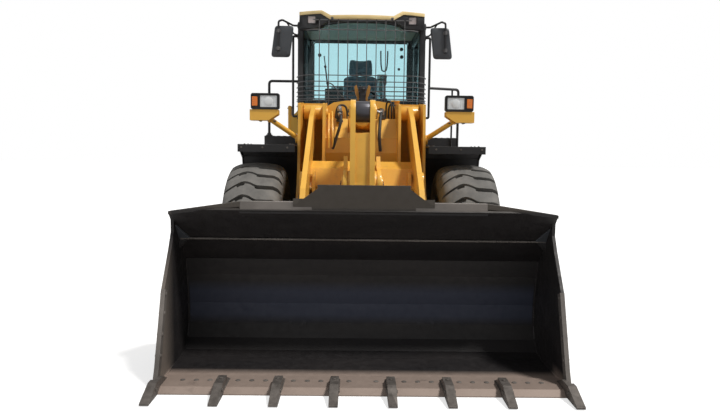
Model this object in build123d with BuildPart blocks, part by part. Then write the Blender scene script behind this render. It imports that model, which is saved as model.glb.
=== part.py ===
"""An articulated wheel loader with a Z-bar bucket linkage, as separate parts in one assembly.

Millimetres. +Z is up, -Y is the way the machine drives forward, +X is its left-hand side.
The origin is on the ground, in the middle of the machine's length and width.
Every pivot of the linkage is written once, as (y, z), in the list of pins below.
"""
from build123d import *
from math import hypot
import os

os.makedirs("parts", exist_ok=True)

# ---------------------------------------------------------------- overall layout
LIP_Y = -3865  # front edge of the bucket's cutting edge
REAR_Y = 4085  # rear face of the counterweight
FRONT_AXLE_Y = -1165
REAR_AXLE_Y = 2135
HITCH_Y = 485  # upright pivot between the two frames, midway between the axles
TRACK = 2240
TYRE_R = 790
AXLE_Z = TYRE_R
RIM_R = 318  # bead seat

# ---------------------------------------------------------------- pins of the linkage, (y, z)
ARM_PIN = (-745, 2150)  # arm to front frame
BUCKET_PIN = (-2535, 420)  # arm to bucket
CRANK_PIN = (-1915, 1400)  # bell crank to arm
ROD_PIN = (-1895, 2105)  # tilt cylinder to bell crank
LINK_REAR_PIN = (-2020, 600)  # link to bell crank
LINK_FRONT_PIN = (-2720, 720)  # link to bucket
TILT_BASE_PIN = (-640, 2060)  # tilt cylinder to front frame
LIFT_ROD_PIN = (-1665, 1220)  # lift cylinder to arm
LIFT_BASE_PIN = (-245, 880)  # lift cylinder to front frame
ARM_X = 550  # middle of each arm plate
ARM_THICK = 50

# steering cylinders, (x, y) of each end on the left-hand side
STEER_REAR_PIN = (330, 1105)
STEER_FRONT_PIN = (350, 65)
STEER_Z = 940

CLEAR = 6  # gap round a door or flap, and between pieces that swing past each other
SEAT = 0.3  # gap between two parts that rest against each other
PIN_GAP = 0.3  # radial play of a pin in an eye that turns on it


# ---------------------------------------------------------------- small shapes used everywhere
def block(x0, x1, y0, y1, z0, z1, mode=Mode.ADD):
    """A box given by its six faces. Each pair may come in either order."""
    with Locations(((x0 + x1) / 2, (y0 + y1) / 2, (z0 + z1) / 2)):
        Box(abs(x1 - x0), abs(y1 - y0), abs(z1 - z0), mode=mode)


def sheet(plane, outline, thick, mode=Mode.ADD):
    """A flat outline on a plane, thickened along the plane's normal."""
    with BuildSketch(plane) as face:
        with BuildLine():
            Polyline(*outline, close=True)
        make_face()
    extrude(face.sketch, amount=thick, mode=mode)


def plate(outline, x0, x1, mode=Mode.ADD):
    """A plate standing fore and aft: (y, z) points between two x."""
    sheet(Plane.YZ.offset(min(x0, x1)), outline, abs(x1 - x0), mode)


def slab(outline, z0, z1, mode=Mode.ADD):
    """A plate lying level: (x, y) points between two heights."""
    sheet(Plane.XY.offset(z0), outline, z1 - z0, mode)


def cross_section(outline, y0, y1, mode=Mode.ADD):
    """A shape with one section all along its length: (x, z) points from y0 back to y1."""
    sheet(Plane((0, y0, 0), x_dir=(1, 0, 0), z_dir=(0, -1, 0)), outline, y0 - y1, mode)


def cross_bar(pin, radius, x0, x1, mode=Mode.ADD):
    """A round bar along X through a pin centre (y, z)."""
    with BuildSketch(Plane.YZ.offset(min(x0, x1))) as face:
        with Locations(pin):
            Circle(radius)
    extrude(face.sketch, amount=abs(x1 - x0), mode=mode)


def post(x, y, radius, z0, z1, mode=Mode.ADD):
    """A round bar standing upright."""
    with BuildSketch(Plane.XY.offset(z0)) as face:
        with Locations((x, y)):
            Circle(radius)
    extrude(face.sketch, amount=z1 - z0, mode=mode)


def bar(start, end, radius, mode=Mode.ADD):
    """A round bar between two points (x, y, z)."""
    axis = Vector(*end) - Vector(*start)
    with BuildSketch(Plane(origin=start, z_dir=axis)) as face:
        Circle(radius)
    extrude(face.sketch, amount=axis.length, mode=mode)


def tube_run(points, radius):
    """A bent tube: straight bars with a ball at every bend."""
    for start, end in zip(points, points[1:]):
        bar(start, end, radius)
    for corner in points[1:-1]:
        with Locations(corner):
            Sphere(radius)


def turned(outline, centre, mode=Mode.ADD):
    """A ring turned about the X axis through centre, from (x, r) points measured from it."""
    with BuildSketch(Plane(origin=centre, x_dir=(1, 0, 0), z_dir=(0, -1, 0))) as face:
        with BuildLine():
            Polyline(*outline, close=True)
        make_face()
    revolve(face.sketch, axis=Axis(centre, (1, 0, 0)), mode=mode)


def link_plate(eyes, x0, x1, mode=Mode.ADD):
    """A plate round a chain of eyes ((y, z), radius): each pair is joined by a straight-sided web."""
    for (first, r1), (second, r2) in zip(eyes, eyes[1:]):
        with BuildSketch(Plane.YZ.offset(min(x0, x1))) as face:
            with Locations(first):
                Circle(r1)
            with Locations(second):
                Circle(r2)
            make_hull()
        extrude(face.sketch, amount=abs(x1 - x0), mode=mode)


def behind_lip(points):
    """Turn (distance behind the lip, height) points into (y, z)."""
    return [(LIP_Y + distance, z) for distance, z in points]


def toward(start, end, distance, x):
    """The point a distance from one pin (y, z) towards another, as (x, y, z)."""
    share = distance / reach(start, end)
    return (x, start[0] + (end[0] - start[0]) * share, start[1] + (end[1] - start[1]) * share)


def reach(start, end):
    """The distance between two pins."""
    return hypot(end[0] - start[0], end[1] - start[1])


def save(name, builder):
    """Write one named part. Its file name is its name in the assembly."""
    builder.part.label = name
    export_step(builder.part, f"parts/{name}.step")


SIDES = ((1, "left"), (-1, "right"))  # sign of x, name

# ================================================================ rear frame
FRAME_X = 500  # inner face of the rear frame's side plates
FRAME_OUT = 530
FRAME_TOP = 1330
LUG_R = 120
HITCH_PIN_R = 45
HITCH_LUG_Z = (1250, 620)  # middle of each front lug
LUG_THICK = 60
FORK_THICK = 45
BULKHEAD_Y = HITCH_Y + 330
CROSS_TOP = 1040
STEER_EYE = 45  # half the height of a steering cylinder's eye

with BuildPart() as rear_frame:
    side_plate = [
        (BULKHEAD_Y, 540), (BULKHEAD_Y, FRAME_TOP), (1500, FRAME_TOP), (1800, 1420), (2470, 1420),
        (2800, 1250), (3640, 1250), (3640, 800), (2650, 720), (2520, 960), (1750, 960), (1400, 540),
    ]
    for s, _ in SIDES:
        plate(side_plate, s * FRAME_X, s * FRAME_OUT)
    # bulkhead behind the hitch, with windows for the drive shaft and the steering cylinders
    block(-FRAME_X, FRAME_X, BULKHEAD_Y, BULKHEAD_Y + 40, 540, FRAME_TOP)
    block(-170, 170, BULKHEAD_Y - 10, BULKHEAD_Y + 50, 760, 1110, mode=Mode.SUBTRACT)
    for s, _ in SIDES:
        block(s * 210, s * 465, BULKHEAD_Y - 10, BULKHEAD_Y + 50, 860, 1020, mode=Mode.SUBTRACT)
    # two forks of the hitch, each with its pin
    for z in HITCH_LUG_Z:
        near = LUG_THICK / 2 + SEAT
        for low in (z + near, z - near - FORK_THICK):
            slab([(-LUG_R, HITCH_Y), (LUG_R, HITCH_Y), (420, BULKHEAD_Y + 5), (-420, BULKHEAD_Y + 5)],
                 low, low + FORK_THICK)
            post(0, HITCH_Y, LUG_R, low, low + FORK_THICK)
        cap = near + FORK_THICK + 20
        post(0, HITCH_Y, HITCH_PIN_R, z - cap, z + cap)
        for low in (z + cap - 10, z - cap):
            post(0, HITCH_Y, 75, low, low + 10)
    # cross members
    block(-FRAME_X, FRAME_X, 1630, 1730, CROSS_TOP - 75, CROSS_TOP)
    block(-FRAME_X, FRAME_X, 3560, 3640, 800, 1250)
    # cradle over the rear axle
    for s, _ in SIDES:
        block(s * 300, s * 500, REAR_AXLE_Y - 130, REAR_AXLE_Y + 130, AXLE_Z + 175, AXLE_Z + 260)
    # brackets of the steering cylinders: two shelves with a pin through them
    for s, _ in SIDES:
        x, y = s * STEER_REAR_PIN[0], STEER_REAR_PIN[1]
        for low in (STEER_Z - STEER_EYE - SEAT - 40, STEER_Z + STEER_EYE + SEAT):
            block(s * 265, s * FRAME_X, y - 60, y + 75, low, low + 40)
        post(x, y, 28, STEER_Z - 110, STEER_Z + 110)
save("rear_frame", rear_frame)

# ================================================================ axles, wheels, tyres
SPINDLE_R = 60


def axle(name, y, nose):
    """A rigid drive axle: a bulged middle, two trumpets, brake drums, spindles and a pinion nose."""
    with BuildPart() as shape:
        turned([(-230, 0), (-230, 170), (-150, 240), (150, 240), (230, 170), (230, 0)], (0, y, AXLE_Z))
        for s, _ in SIDES:
            turned(
                [(s * 200, 0), (s * 200, 160), (s * 420, 125), (s * 710, 125), (s * 710, 225),
                 (s * 860, 225), (s * 860, SPINDLE_R), (s * 1240, SPINDLE_R), (s * 1240, 0)],
                (0, y, AXLE_Z),
            )
            block(s * 310, s * 440, y - 120, y + 120, AXLE_Z, AXLE_Z + 175 - SEAT)
        bar((0, y, AXLE_Z), (0, y + nose * 360, AXLE_Z + 20), 110)
    save(name, shape)


axle("front_axle", FRONT_AXLE_Y, 1)
axle("rear_axle", REAR_AXLE_Y, -1)

TYRE_OUTLINE = [  # (x from the tyre's middle, radius), one side
    (0, TYRE_R), (190, TYRE_R - 6), (255, TYRE_R - 26), (285, TYRE_R - 70), (300, 600), (262, 400),
    (224, RIM_R),
]
RIM_OUTLINE = [  # (x outward from the wheel's middle, radius)
    (-222, RIM_R - SEAT), (-222, RIM_R - 26), (40, RIM_R - 34), (60, 150), (-40, 150), (-40, 90),
    (-230, 90), (-230, SPINDLE_R + PIN_GAP), (121, SPINDLE_R + PIN_GAP), (121, 0), (215, 0),
    (215, 110), (190, 165), (85, 185), (80, RIM_R - 30), (200, RIM_R - 26), (222, RIM_R - SEAT),
]
for y, end in ((FRONT_AXLE_Y, "front"), (REAR_AXLE_Y, "rear")):
    for s, side in SIDES:
        centre = (s * TRACK / 2, y, AXLE_Z)
        with BuildPart() as tyre:
            turned([(-x, r) for x, r in TYRE_OUTLINE[:0:-1]] + TYRE_OUTLINE, centre)
        save(f"tyre_{end}_{side}", tyre)
        with BuildPart() as rim:
            turned([(s * x, r) for x, r in RIM_OUTLINE], centre)
        save(f"rim_{end}_{side}", rim)


def drive_shaft(name, start, end):
    """A propeller shaft between two (y, z) points, with a flange at each end."""
    first, last = (0, *start), (0, *end)
    with BuildPart() as shape:
        bar(first, last, 42)
        bar(first, toward(start, end, 40, 0), 80)
        bar(last, toward(end, start, 40, 0), 80)
    save(name, shape)


drive_shaft("front_drive_shaft", (FRONT_AXLE_Y + 365.7, AXLE_Z + 24), (HITCH_Y - 330, 935))
drive_shaft("rear_drive_shaft", (1512, 850), (REAR_AXLE_Y - 366.5, AXLE_Z + 24))

# ================================================================ engine, hood, tail
HOOD_X, HOOD_FRONT, HOOD_REAR = 620, 1560, 3960
HOOD_BASE, HOOD_TOP, HOOD_WALL = 1425, 2380, 20
FLAP_FRONT, FLAP_REAR, FLAP_LOW, FLAP_HIGH = 2300, 3400, 1790, 2236
STACK, STACK_R = (330, 2150), 95  # (x, y) and foot radius of the exhaust
INTAKE, INTAKE_R = (-330, 2150), 70
TAIL_FRONT = 3646
GRILLE_HINGE = (462, HOOD_REAR + 13, 1570)

with BuildPart() as engine:
    block(-330, 330, 2420, 3480, CROSS_TOP + 60, 1900)
    block(-200, 200, 2000, 2420, 1180, 1500)
    block(-300, 300, 1300, 2000, CROSS_TOP + SEAT, 1380)
    block(-200, 200, 1300, 1500, 780, CROSS_TOP + 1)
save("engine", engine)


def hood_profile(inset):
    """The hood's section, a step inside its outer face."""
    x, top = HOOD_X - inset, HOOD_TOP - inset
    return [(-x, HOOD_BASE - 2 * inset), (-x, top - 150), (-x + 110, top - 10), (0, top),
            (x - 110, top - 10), (x, top - 150), (x, HOOD_BASE - 2 * inset)]


KNUCKLE_R = 12
HINGE_OUT = KNUCKLE_R + 1  # a hinge's centre line stands this far out from the wall it is on
DOOR_KNUCKLES = ((150, 230), (230.3, 310.3), (310.6, 390), (1050, 1130), (1130.3, 1210.3), (1210.6, 1290))
FLAP_KNUCKLES = ((100, 160), (160.3, 220.3), (220.6, 280), (820, 880), (880.3, 940.3), (940.6, 1000))
GRILLE_KNUCKLES = ((60, 120), (120.3, 180.3), (180.6, 240), (430, 490), (490.3, 550.3), (550.6, 610))


def knuckle(start, direction, near, far):
    """One length of a hinge's tube, between two distances along a unit direction from its start."""
    start, direction = Vector(*start), Vector(*direction)
    bar(tuple(start + direction * near), tuple(start + direction * far), KNUCKLE_R)


def fixed(knuckles):
    """The knuckles that stay: the two outer ones of every three."""
    return [span for place, span in enumerate(knuckles) if place % 3 != 1]


def swung(knuckles):
    """The knuckles that turn: the middle one of every three."""
    return [span for place, span in enumerate(knuckles) if place % 3 == 1]


with BuildPart() as engine_hood:
    cross_section(hood_profile(0), HOOD_FRONT, HOOD_REAR)
    cross_section(hood_profile(HOOD_WALL), HOOD_FRONT + HOOD_WALL, HOOD_REAR - 40, mode=Mode.SUBTRACT)
    for s, _ in SIDES:
        block(s * (HOOD_X - 30), s * (HOOD_X + 30), FLAP_FRONT, FLAP_REAR, FLAP_LOW, FLAP_HIGH,
              mode=Mode.SUBTRACT)
        for near, far in fixed(FLAP_KNUCKLES):
            knuckle((s * (HOOD_X + HINGE_OUT), FLAP_FRONT, FLAP_HIGH + 4), (0, 1, 0), near, far)
            block(s * (HOOD_X - 2), s * (HOOD_X + HINGE_OUT), FLAP_FRONT + near, FLAP_FRONT + far,
                  FLAP_HIGH + 4, FLAP_HIGH + 34)
    block(-470, 470, HOOD_REAR - 60, HOOD_REAR + 10, 1570, 2240, mode=Mode.SUBTRACT)
    for near, far in fixed(GRILLE_KNUCKLES):
        knuckle(GRILLE_HINGE, (0, 0, 1), near, far)
        block(462, 505, HOOD_REAR - 1, HOOD_REAR + HINGE_OUT, 1570 + near, 1570 + far)
    block(-HOOD_X - 10, HOOD_X + 10, TAIL_FRONT - 6, HOOD_REAR + 10, HOOD_BASE - 10, 1560 + SEAT,
          mode=Mode.SUBTRACT)
    post(*STACK, STACK_R + SEAT, HOOD_TOP - 60, HOOD_TOP + 10, mode=Mode.SUBTRACT)
    post(*INTAKE, INTAKE_R + SEAT, HOOD_TOP - 60, HOOD_TOP + 10, mode=Mode.SUBTRACT)
save("engine_hood", engine_hood)

for s, side in SIDES:
    with BuildPart() as hood_door:
        block(s * (HOOD_X - HOOD_WALL), s * HOOD_X, FLAP_FRONT + CLEAR, FLAP_REAR - CLEAR,
              FLAP_LOW + CLEAR, FLAP_HIGH - CLEAR)
        for near, far in swung(FLAP_KNUCKLES):
            knuckle((s * (HOOD_X + HINGE_OUT), FLAP_FRONT, FLAP_HIGH + 4), (0, 1, 0), near, far)
            block(s * (HOOD_X - 2), s * (HOOD_X + HINGE_OUT), FLAP_FRONT + near, FLAP_FRONT + far,
                  FLAP_HIGH - 40, FLAP_HIGH - CLEAR)
    save(f"hood_door_{side}", hood_door)

GRILLE_FACE, GRILLE_BACK = HOOD_REAR - 5, HOOD_REAR - 35
with BuildPart() as rear_grille:
    block(-462, 462, GRILLE_BACK, GRILLE_FACE, 1578, 2232)
    block(-412, 412, GRILLE_BACK - 5, GRILLE_FACE + 5, 1628, 2182, mode=Mode.SUBTRACT)
    for step in range(9):
        z = 1650 + step * 60
        block(-420, 420, GRILLE_BACK + 6, GRILLE_BACK + 20, z, z + 30)
    block(-12, 12, GRILLE_BACK, GRILLE_FACE, 1600, 2200)
    for near, far in swung(GRILLE_KNUCKLES):
        knuckle(GRILLE_HINGE, (0, 0, 1), near, far)
        block(425, 462, GRILLE_FACE - 5, HOOD_REAR + HINGE_OUT, 1570 + near, 1570 + far)
save("rear_grille", rear_grille)

with BuildPart() as exhaust_stack:
    post(*STACK, STACK_R, HOOD_TOP - 260, HOOD_TOP + 60)
    post(*STACK, 62, HOOD_TOP + 60, HOOD_TOP + 520)
    post(*STACK, 50, HOOD_TOP + 200, HOOD_TOP + 530, mode=Mode.SUBTRACT)
    post(*INTAKE, INTAKE_R, HOOD_TOP - 120, HOOD_TOP + 150)
    post(*INTAKE, 125, HOOD_TOP + 150, HOOD_TOP + 330)
save("exhaust_stack", exhaust_stack)

TAIL_TOP = 1560
TOW_PIN, TOW_R = (0, 4010), 26  # (x, y) and radius of the tow pin's bore
with BuildPart() as counterweight:
    slab([(-1240, TAIL_FRONT), (-1240, 3900), (-1120, 4040), (-700, REAR_Y), (700, REAR_Y), (1120, 4040),
          (1240, 3900), (1240, TAIL_FRONT)], 640, TAIL_TOP)
    plate([(3900, 630), (4100, 630), (4100, 900)], -1300, 1300, mode=Mode.SUBTRACT)
    plate([(4100, 1430), (3990, 1570), (4100, 1570)], -1300, 1300, mode=Mode.SUBTRACT)
    block(-110, 110, 3950, REAR_Y + 10, 830, 1130, mode=Mode.SUBTRACT)
    for low in (900, 1030):
        block(-70, 70, 3940, 4060, low, low + 30)
    post(*TOW_PIN, TOW_R, 890, 1070, mode=Mode.SUBTRACT)
    # the pin is dropped in from the top
    post(*TOW_PIN, TOW_R + 4, 1120, TAIL_TOP + 10, mode=Mode.SUBTRACT)
save("counterweight", counterweight)

FENDER_IN, FENDER_OUT = 820, 1400
with BuildPart() as rear_fenders:
    for s, _ in SIDES:
        plate([(1330, 1640), (1500, 1740), (2700, 1740), (2960, 1560), (2960, 1580), (2712, 1760),
               (1494, 1760), (1318, 1656)], s * FENDER_IN, s * FENDER_OUT)
        block(s * (HOOD_X + SEAT), s * (FENDER_IN + 5), 1600, 2650, 1700, 1740)
save("rear_fenders", rear_fenders)

TANK_OUT, STEP_OUT = 1180, 1250
with BuildPart() as side_tanks:
    for s, _ in SIDES:
        plate([(640, 800), (1180, 800), (1270, 1000), (1270, 1600), (640, 1600)],
              s * (FRAME_OUT + SEAT), s * TANK_OUT)
        for z in (500, 850, 1200, 1545):
            block(s * (TANK_OUT - 5), s * STEP_OUT, 720, 1180, z, z + 35)
        for y in (690, 1180):
            block(s * (TANK_OUT - 5), s * (TANK_OUT + 45), y, y + 30, 500, 1600)
save("side_tanks", side_tanks)

# ================================================================ cab
CAB_X = 810
CAB_FRONT, CAB_CORNER, CAB_REAR = -65, 130, 1480
DECK_LOW = 1640
PLATFORM_LOW, PLATFORM_TOP = 1700, 1900
CAB_FLOOR, SILL_Z, HEAD_Z, CAB_EAVE = 1700, 2290, 3230, 3330
PLATFORM_X, PLATFORM_Y = 1260, 315  # outer edge and front edge of the platforms beside the cab
PILLAR = 70
GLASS_IN, GLASS = 22, 8  # how far the glass is set in, and its thickness
DOOR = (260, 1060, 1910, 3230)  # opening in the left wall: y0, y1, z0, z1
WINDOWS_LEFT = ((1130, 1400, 2200, 3200),)
WINDOWS_RIGHT = ((260, 780, 1980, 3230), (850, 1400, 2200, 3200))
REAR_WINDOW = (-690, 690, 2450, 3290)  # x0, x1, z0, z1
SCREEN_X = 742  # half the width of the windscreen


def cab_wall(inset, thick, z0, z1, mode=Mode.ADD):
    """An upright wall of the cab's plan, with its bowed front, set in from the outer face."""
    with BuildSketch(Plane.XY.offset(z0)) as wall:
        for step, combine in ((inset, Mode.ADD), (inset + thick, Mode.SUBTRACT)):
            x, corner = CAB_X - step, CAB_CORNER + step * 0.6
            with BuildLine() as plan:
                Polyline((-x, corner), (-x, CAB_REAR - step), (x, CAB_REAR - step), (x, corner))
                ThreePointArc((-x, corner), (0, CAB_FRONT + step), (x, corner))
            make_face(plan.edges(), mode=combine)
    extrude(wall.sketch, amount=z1 - z0, mode=mode)


ROOF_LOW, ROOF_TOP = CAB_EAVE + SEAT, 3376
BROW_LOW, BROW_TOP = 3400, 3440  # the roof over each front corner
BROW = (400, 510, 785)  # x where it starts to rise, where it is up, and its outer edge
BROW_REAR = 560


def roof_plan(half, front, back, z0, z1, mode=Mode.ADD):
    """A level layer over the cab with a bowed front edge."""
    with BuildSketch(Plane.XY.offset(z0)) as layer:
        with BuildLine() as plan:
            Polyline((-half, front + 200), (-half, back), (half, back), (half, front + 200))
            ThreePointArc((-half, front + 200), (0, front), (half, front + 200))
        make_face(plan.edges())
    extrude(layer.sketch, amount=z1 - z0, mode=mode)


with BuildPart() as brow:
    # blocks of the work lamps, in the front corners under the raised roof
    for s, _ in SIDES:
        rise, level, outer = (s * x for x in BROW)
        cross_section([(outer, BROW_LOW), (level, BROW_LOW), (rise, CAB_EAVE), (s * 440, 3290),
                       (s * 560, 3235), (outer, 3235)], -200, 200)
    roof_plan(BROW[2], -140, 400, 3200, 3500, mode=Mode.INTERSECT)

with BuildPart() as cab_frame:
    cab_wall(0, PILLAR, CAB_FLOOR, CAB_EAVE)
    block(-760, 760, 100, 1430, CAB_FLOOR, CAB_FLOOR + 40)
    block(-SCREEN_X, SCREEN_X, CAB_FRONT - 60, 200, SILL_Z, HEAD_Z, mode=Mode.SUBTRACT)
    x0, x1, z0, z1 = REAR_WINDOW
    block(x0, x1, CAB_REAR - 100, CAB_REAR + 20, z0, z1, mode=Mode.SUBTRACT)
    y0, y1, z0, z1 = DOOR
    block(700, 900, y0, y1, z0, z1, mode=Mode.SUBTRACT)
    for s, windows in ((1, WINDOWS_LEFT), (-1, WINDOWS_RIGHT)):
        for y0, y1, z0, z1 in windows:
            block(s * 700, s * 900, y0, y1, z0, z1, mode=Mode.SUBTRACT)
    add(brow.part)
    # deck under the cab and a platform on each side
    block(-785, 785, 150, CAB_REAR, DECK_LOW, CAB_FLOOR)
    for s, _ in SIDES:
        block(s * 780, s * PLATFORM_X, PLATFORM_Y, 1290, PLATFORM_LOW, PLATFORM_TOP)
        for y in (860, 1300):
            block(s * 400, s * (FRAME_OUT - 5), y, y + 120, FRAME_TOP + SEAT, DECK_LOW)
    for near, far in fixed(DOOR_KNUCKLES):
        knuckle((CAB_X + HINGE_OUT, DOOR[1] + 4, DOOR[2]), (0, 0, 1), near, far)
        block(CAB_X - 1, CAB_X + HINGE_OUT, DOOR[1] + 4, DOOR[1] + 44, DOOR[2] + near, DOOR[2] + far)
save("cab_frame", cab_frame)

with BuildPart() as cab_glass:
    cab_wall(GLASS_IN, GLASS, SILL_Z + SEAT, HEAD_Z - SEAT)
    block(-900, 900, 200, 1600, SILL_Z - 10, HEAD_Z + 10, mode=Mode.SUBTRACT)
    for s, _ in SIDES:
        block(s * (SCREEN_X - SEAT), s * 900, -200, 300, SILL_Z - 10, HEAD_Z + 10, mode=Mode.SUBTRACT)
    x0, x1, z0, z1 = REAR_WINDOW
    block(x0 + SEAT, x1 - SEAT, CAB_REAR - 40, CAB_REAR - 32, z0 + SEAT, z1 - SEAT)
    for s, windows in ((1, WINDOWS_LEFT), (-1, WINDOWS_RIGHT)):
        for y0, y1, z0, z1 in windows:
            block(s * 770, s * 778, y0 + SEAT, y1 - SEAT, z0 + SEAT, z1 - SEAT)
save("cab_glass", cab_glass)

with BuildPart() as cab_roof:
    roof_plan(800, -150, 1520, ROOF_LOW, ROOF_TOP)
    for s, _ in SIDES:
        # the roof steps up over each lamp block and comes down again behind it
        rise, level, outer = (s * x for x in BROW)
        cross_section([(s * 900, ROOF_LOW - 1), (s * 900, BROW_LOW + SEAT), (level, BROW_LOW + SEAT),
                       (rise, ROOF_LOW), (rise, ROOF_LOW - 1)], -300, 200 + SEAT, mode=Mode.SUBTRACT)
    with BuildPart(mode=Mode.PRIVATE) as raised:
        for s, _ in SIDES:
            rise, level, outer = (s * x for x in BROW)
            cross_section([(rise - s * 12, ROOF_TOP), (level - s * 12, BROW_TOP), (outer, BROW_TOP),
                           (outer, BROW_LOW + SEAT), (level, BROW_LOW + SEAT), (rise, ROOF_LOW),
                           (rise - s * 40, ROOF_LOW)], -200, BROW_REAR)
            cross_section([(rise, ROOF_TOP - 20), (outer, ROOF_TOP - 20), (outer, BROW_TOP - 5),
                           (level, BROW_TOP - 5)], 200 + SEAT, BROW_REAR)
        roof_plan(BROW[2], -150, 1500, ROOF_LOW, BROW_TOP, mode=Mode.INTERSECT)
    add(raised.part)
    # lifting eyes
    for x, y in ((-640, 300), (0, 60), (640, 300)):
        top = BROW_TOP if x else ROOF_TOP
        with BuildSketch(Plane.XZ.offset(-y)) as eye:
            with Locations((x, top + 14)):
                Circle(20)
                Rectangle(40, 20, align=(Align.CENTER, Align.MAX))
                Circle(9, mode=Mode.SUBTRACT)
        extrude(eye.sketch, amount=10)
save("cab_roof", cab_roof)

DOOR_RAIL = 70
DOOR_PANES = ((DOOR[2] + 80, 2130), (2190, DOOR[3] - DOOR_RAIL))  # z0, z1 of each
with BuildPart() as cab_door:
    block(742, 805, DOOR[0] + CLEAR, DOOR[1] - CLEAR, DOOR[2] + CLEAR, DOOR[3] - CLEAR)
    for z0, z1 in DOOR_PANES:
        block(730, 815, DOOR[0] + DOOR_RAIL, DOOR[1] - DOOR_RAIL, z0, z1, mode=Mode.SUBTRACT)
    for near, far in swung(DOOR_KNUCKLES):
        knuckle((CAB_X + HINGE_OUT, DOOR[1] + 4, DOOR[2]), (0, 0, 1), near, far)
        block(800, CAB_X + HINGE_OUT, DOOR[1] - 50, DOOR[1] - 4, DOOR[2] + near, DOOR[2] + far)
    # handle
    block(804, 830, DOOR[0] + 30, DOOR[0] + 50, 2160, 2200)
    block(818, 830, DOOR[0] + 30, DOOR[0] + 50, 2060, 2200)
save("cab_door", cab_door)

with BuildPart() as cab_door_glass:
    for z0, z1 in DOOR_PANES:
        block(770, 778, DOOR[0] + DOOR_RAIL + SEAT, DOOR[1] - DOOR_RAIL - SEAT, z0 + SEAT, z1 - SEAT)
save("cab_door_glass", cab_door_glass)

GUARD_Y = -235
GUARD_BARS = 10
GUARD_PITCH = 115
GUARD_RAILS = (2270, 2330, 2392, 2445, 3180, 3296)  # heights of the level bars
with BuildPart() as windshield_guard:
    for number in range(GUARD_BARS):
        x = (number - (GUARD_BARS - 1) / 2) * GUARD_PITCH
        block(x - 5, x + 5, GUARD_Y - 6, GUARD_Y + 6, GUARD_RAILS[0] - 6, GUARD_RAILS[-1] + 6)
    for z in GUARD_RAILS:
        block(-600, 600, GUARD_Y - 4, GUARD_Y + 4, z - 6, z + 6)
    for s, _ in SIDES:
        # corners folded back to the cab
        slab([(s * 600, GUARD_Y - 4), (s * 690, GUARD_Y + 75), (s * 690, GUARD_Y + 85), (s * 600, GUARD_Y + 4)],
             GUARD_RAILS[-2] - 6, GUARD_RAILS[-2] + 6)
        # straps to the roof above and the cab below
        block(s * 350, s * 380, GUARD_Y - 5, -60, CAB_EAVE - 10, CAB_EAVE)
        block(s * 350, s * 380, GUARD_Y - 5, GUARD_Y + 5, GUARD_RAILS[-1], CAB_EAVE)
        block(s * 350, s * 380, GUARD_Y - 5, 20, GUARD_RAILS[0] - 6, GUARD_RAILS[0] + 4)
    cab_wall(-SEAT, 300, SILL_Z - 60, SILL_Z, mode=Mode.SUBTRACT)
save("windshield_guard", windshield_guard)

SEAT_Y = 1020  # middle of the cushion
FLOOR_TOP = CAB_FLOOR + 40
with BuildPart() as operator_seat:
    block(-240, 240, SEAT_Y - 260, SEAT_Y + 220, 2080, 2200)
    plate([(SEAT_Y + 110, 2200), (SEAT_Y + 200, 2800), (SEAT_Y + 310, 2790), (SEAT_Y + 230, 2180)], -230, 230)
    plate([(SEAT_Y + 195, 2800), (SEAT_Y + 225, 2990), (SEAT_Y + 305, 2980), (SEAT_Y + 290, 2790)], -150, 150)
    block(-200, 200, SEAT_Y - 220, SEAT_Y + 180, FLOOR_TOP + SEAT, 2080)
    for s, _ in SIDES:
        block(s * 262, s * 340, SEAT_Y - 200, SEAT_Y + 180, 2300, 2360)
        block(s * 225, s * 340, SEAT_Y + 120, SEAT_Y + 180, 2240, 2360)
save("operator_seat", operator_seat)

WHEEL_MIDDLE = (0, 530, 2450)
WHEEL_AXIS = (0, 0.33, 0.94)
with BuildPart() as steering_console:
    block(-120, 120, 250, 420, FLOOR_TOP + SEAT, 1900)
    bar((0, 330, 1880), (0, 521, 2424), 45)
    with BuildSketch(Plane(origin=WHEEL_MIDDLE, x_dir=(1, 0, 0), z_dir=(0, -0.94, 0.33))) as rim_section:
        with Locations((190, 0)):
            RegularPolygon(17, 8)
    revolve(rim_section.sketch, axis=Axis(WHEEL_MIDDLE, WHEEL_AXIS))
    with Locations(Plane(origin=WHEEL_MIDDLE, z_dir=WHEEL_AXIS)):
        Cylinder(45, 60)
        for angle in (90, 210, 330):
            with Locations(Location((0, 0, 0), (0, 0, angle))):
                Box(185, 34, 12, align=(Align.MIN, Align.CENTER, Align.CENTER))
save("steering_console", steering_console)

WALL_FACE = CAB_X + SEAT
with BuildPart() as handrails:
    for s, _ in SIDES:
        tube_run([(s * WALL_FACE, 170, 2150), (s * 870, 170, 2150), (s * 870, 170, 2910),
                  (s * WALL_FACE, 170, 2910)], 16)
    # a rail at the front of each platform; the left one keeps out of the door's way
    tube_run([(-WALL_FACE, 345, 2612), (-1185, 345, 2612), (-1185, 345, PLATFORM_TOP + SEAT)], 18)
    tube_run([(870, 170, 2530), (PLATFORM_X + 18 + SEAT, 345, 2530),
              (PLATFORM_X + 18 + SEAT, 345, PLATFORM_LOW)], 18)
    bar((1190, PLATFORM_Y - 14 - SEAT, PLATFORM_LOW), (1190, PLATFORM_Y - 14 - SEAT, 2530), 14)
save("handrails", handrails)

MIRROR_ARM = 13
with BuildPart() as mirrors:
    for s, _ in SIDES:
        tube_run([(s * WALL_FACE, 160, 3290), (s * 870, 160, 3290), (s * 985, -152, 3300),
                  (s * 1030, -152, 2920)], MIRROR_ARM)
        with BuildSketch(Plane((0, -90, 0), x_dir=(1, 0, 0), z_dir=(0, -1, 0))) as housing:
            with BuildLine():
                Polyline((s * 840, 3240), (s * 1070, 3240), (s * 1120, 2860), (s * 887, 2860), close=True)
            make_face()
            fillet(housing.vertices(), 36)
        extrude(housing.sketch, amount=50)
save("mirrors", mirrors)

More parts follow.
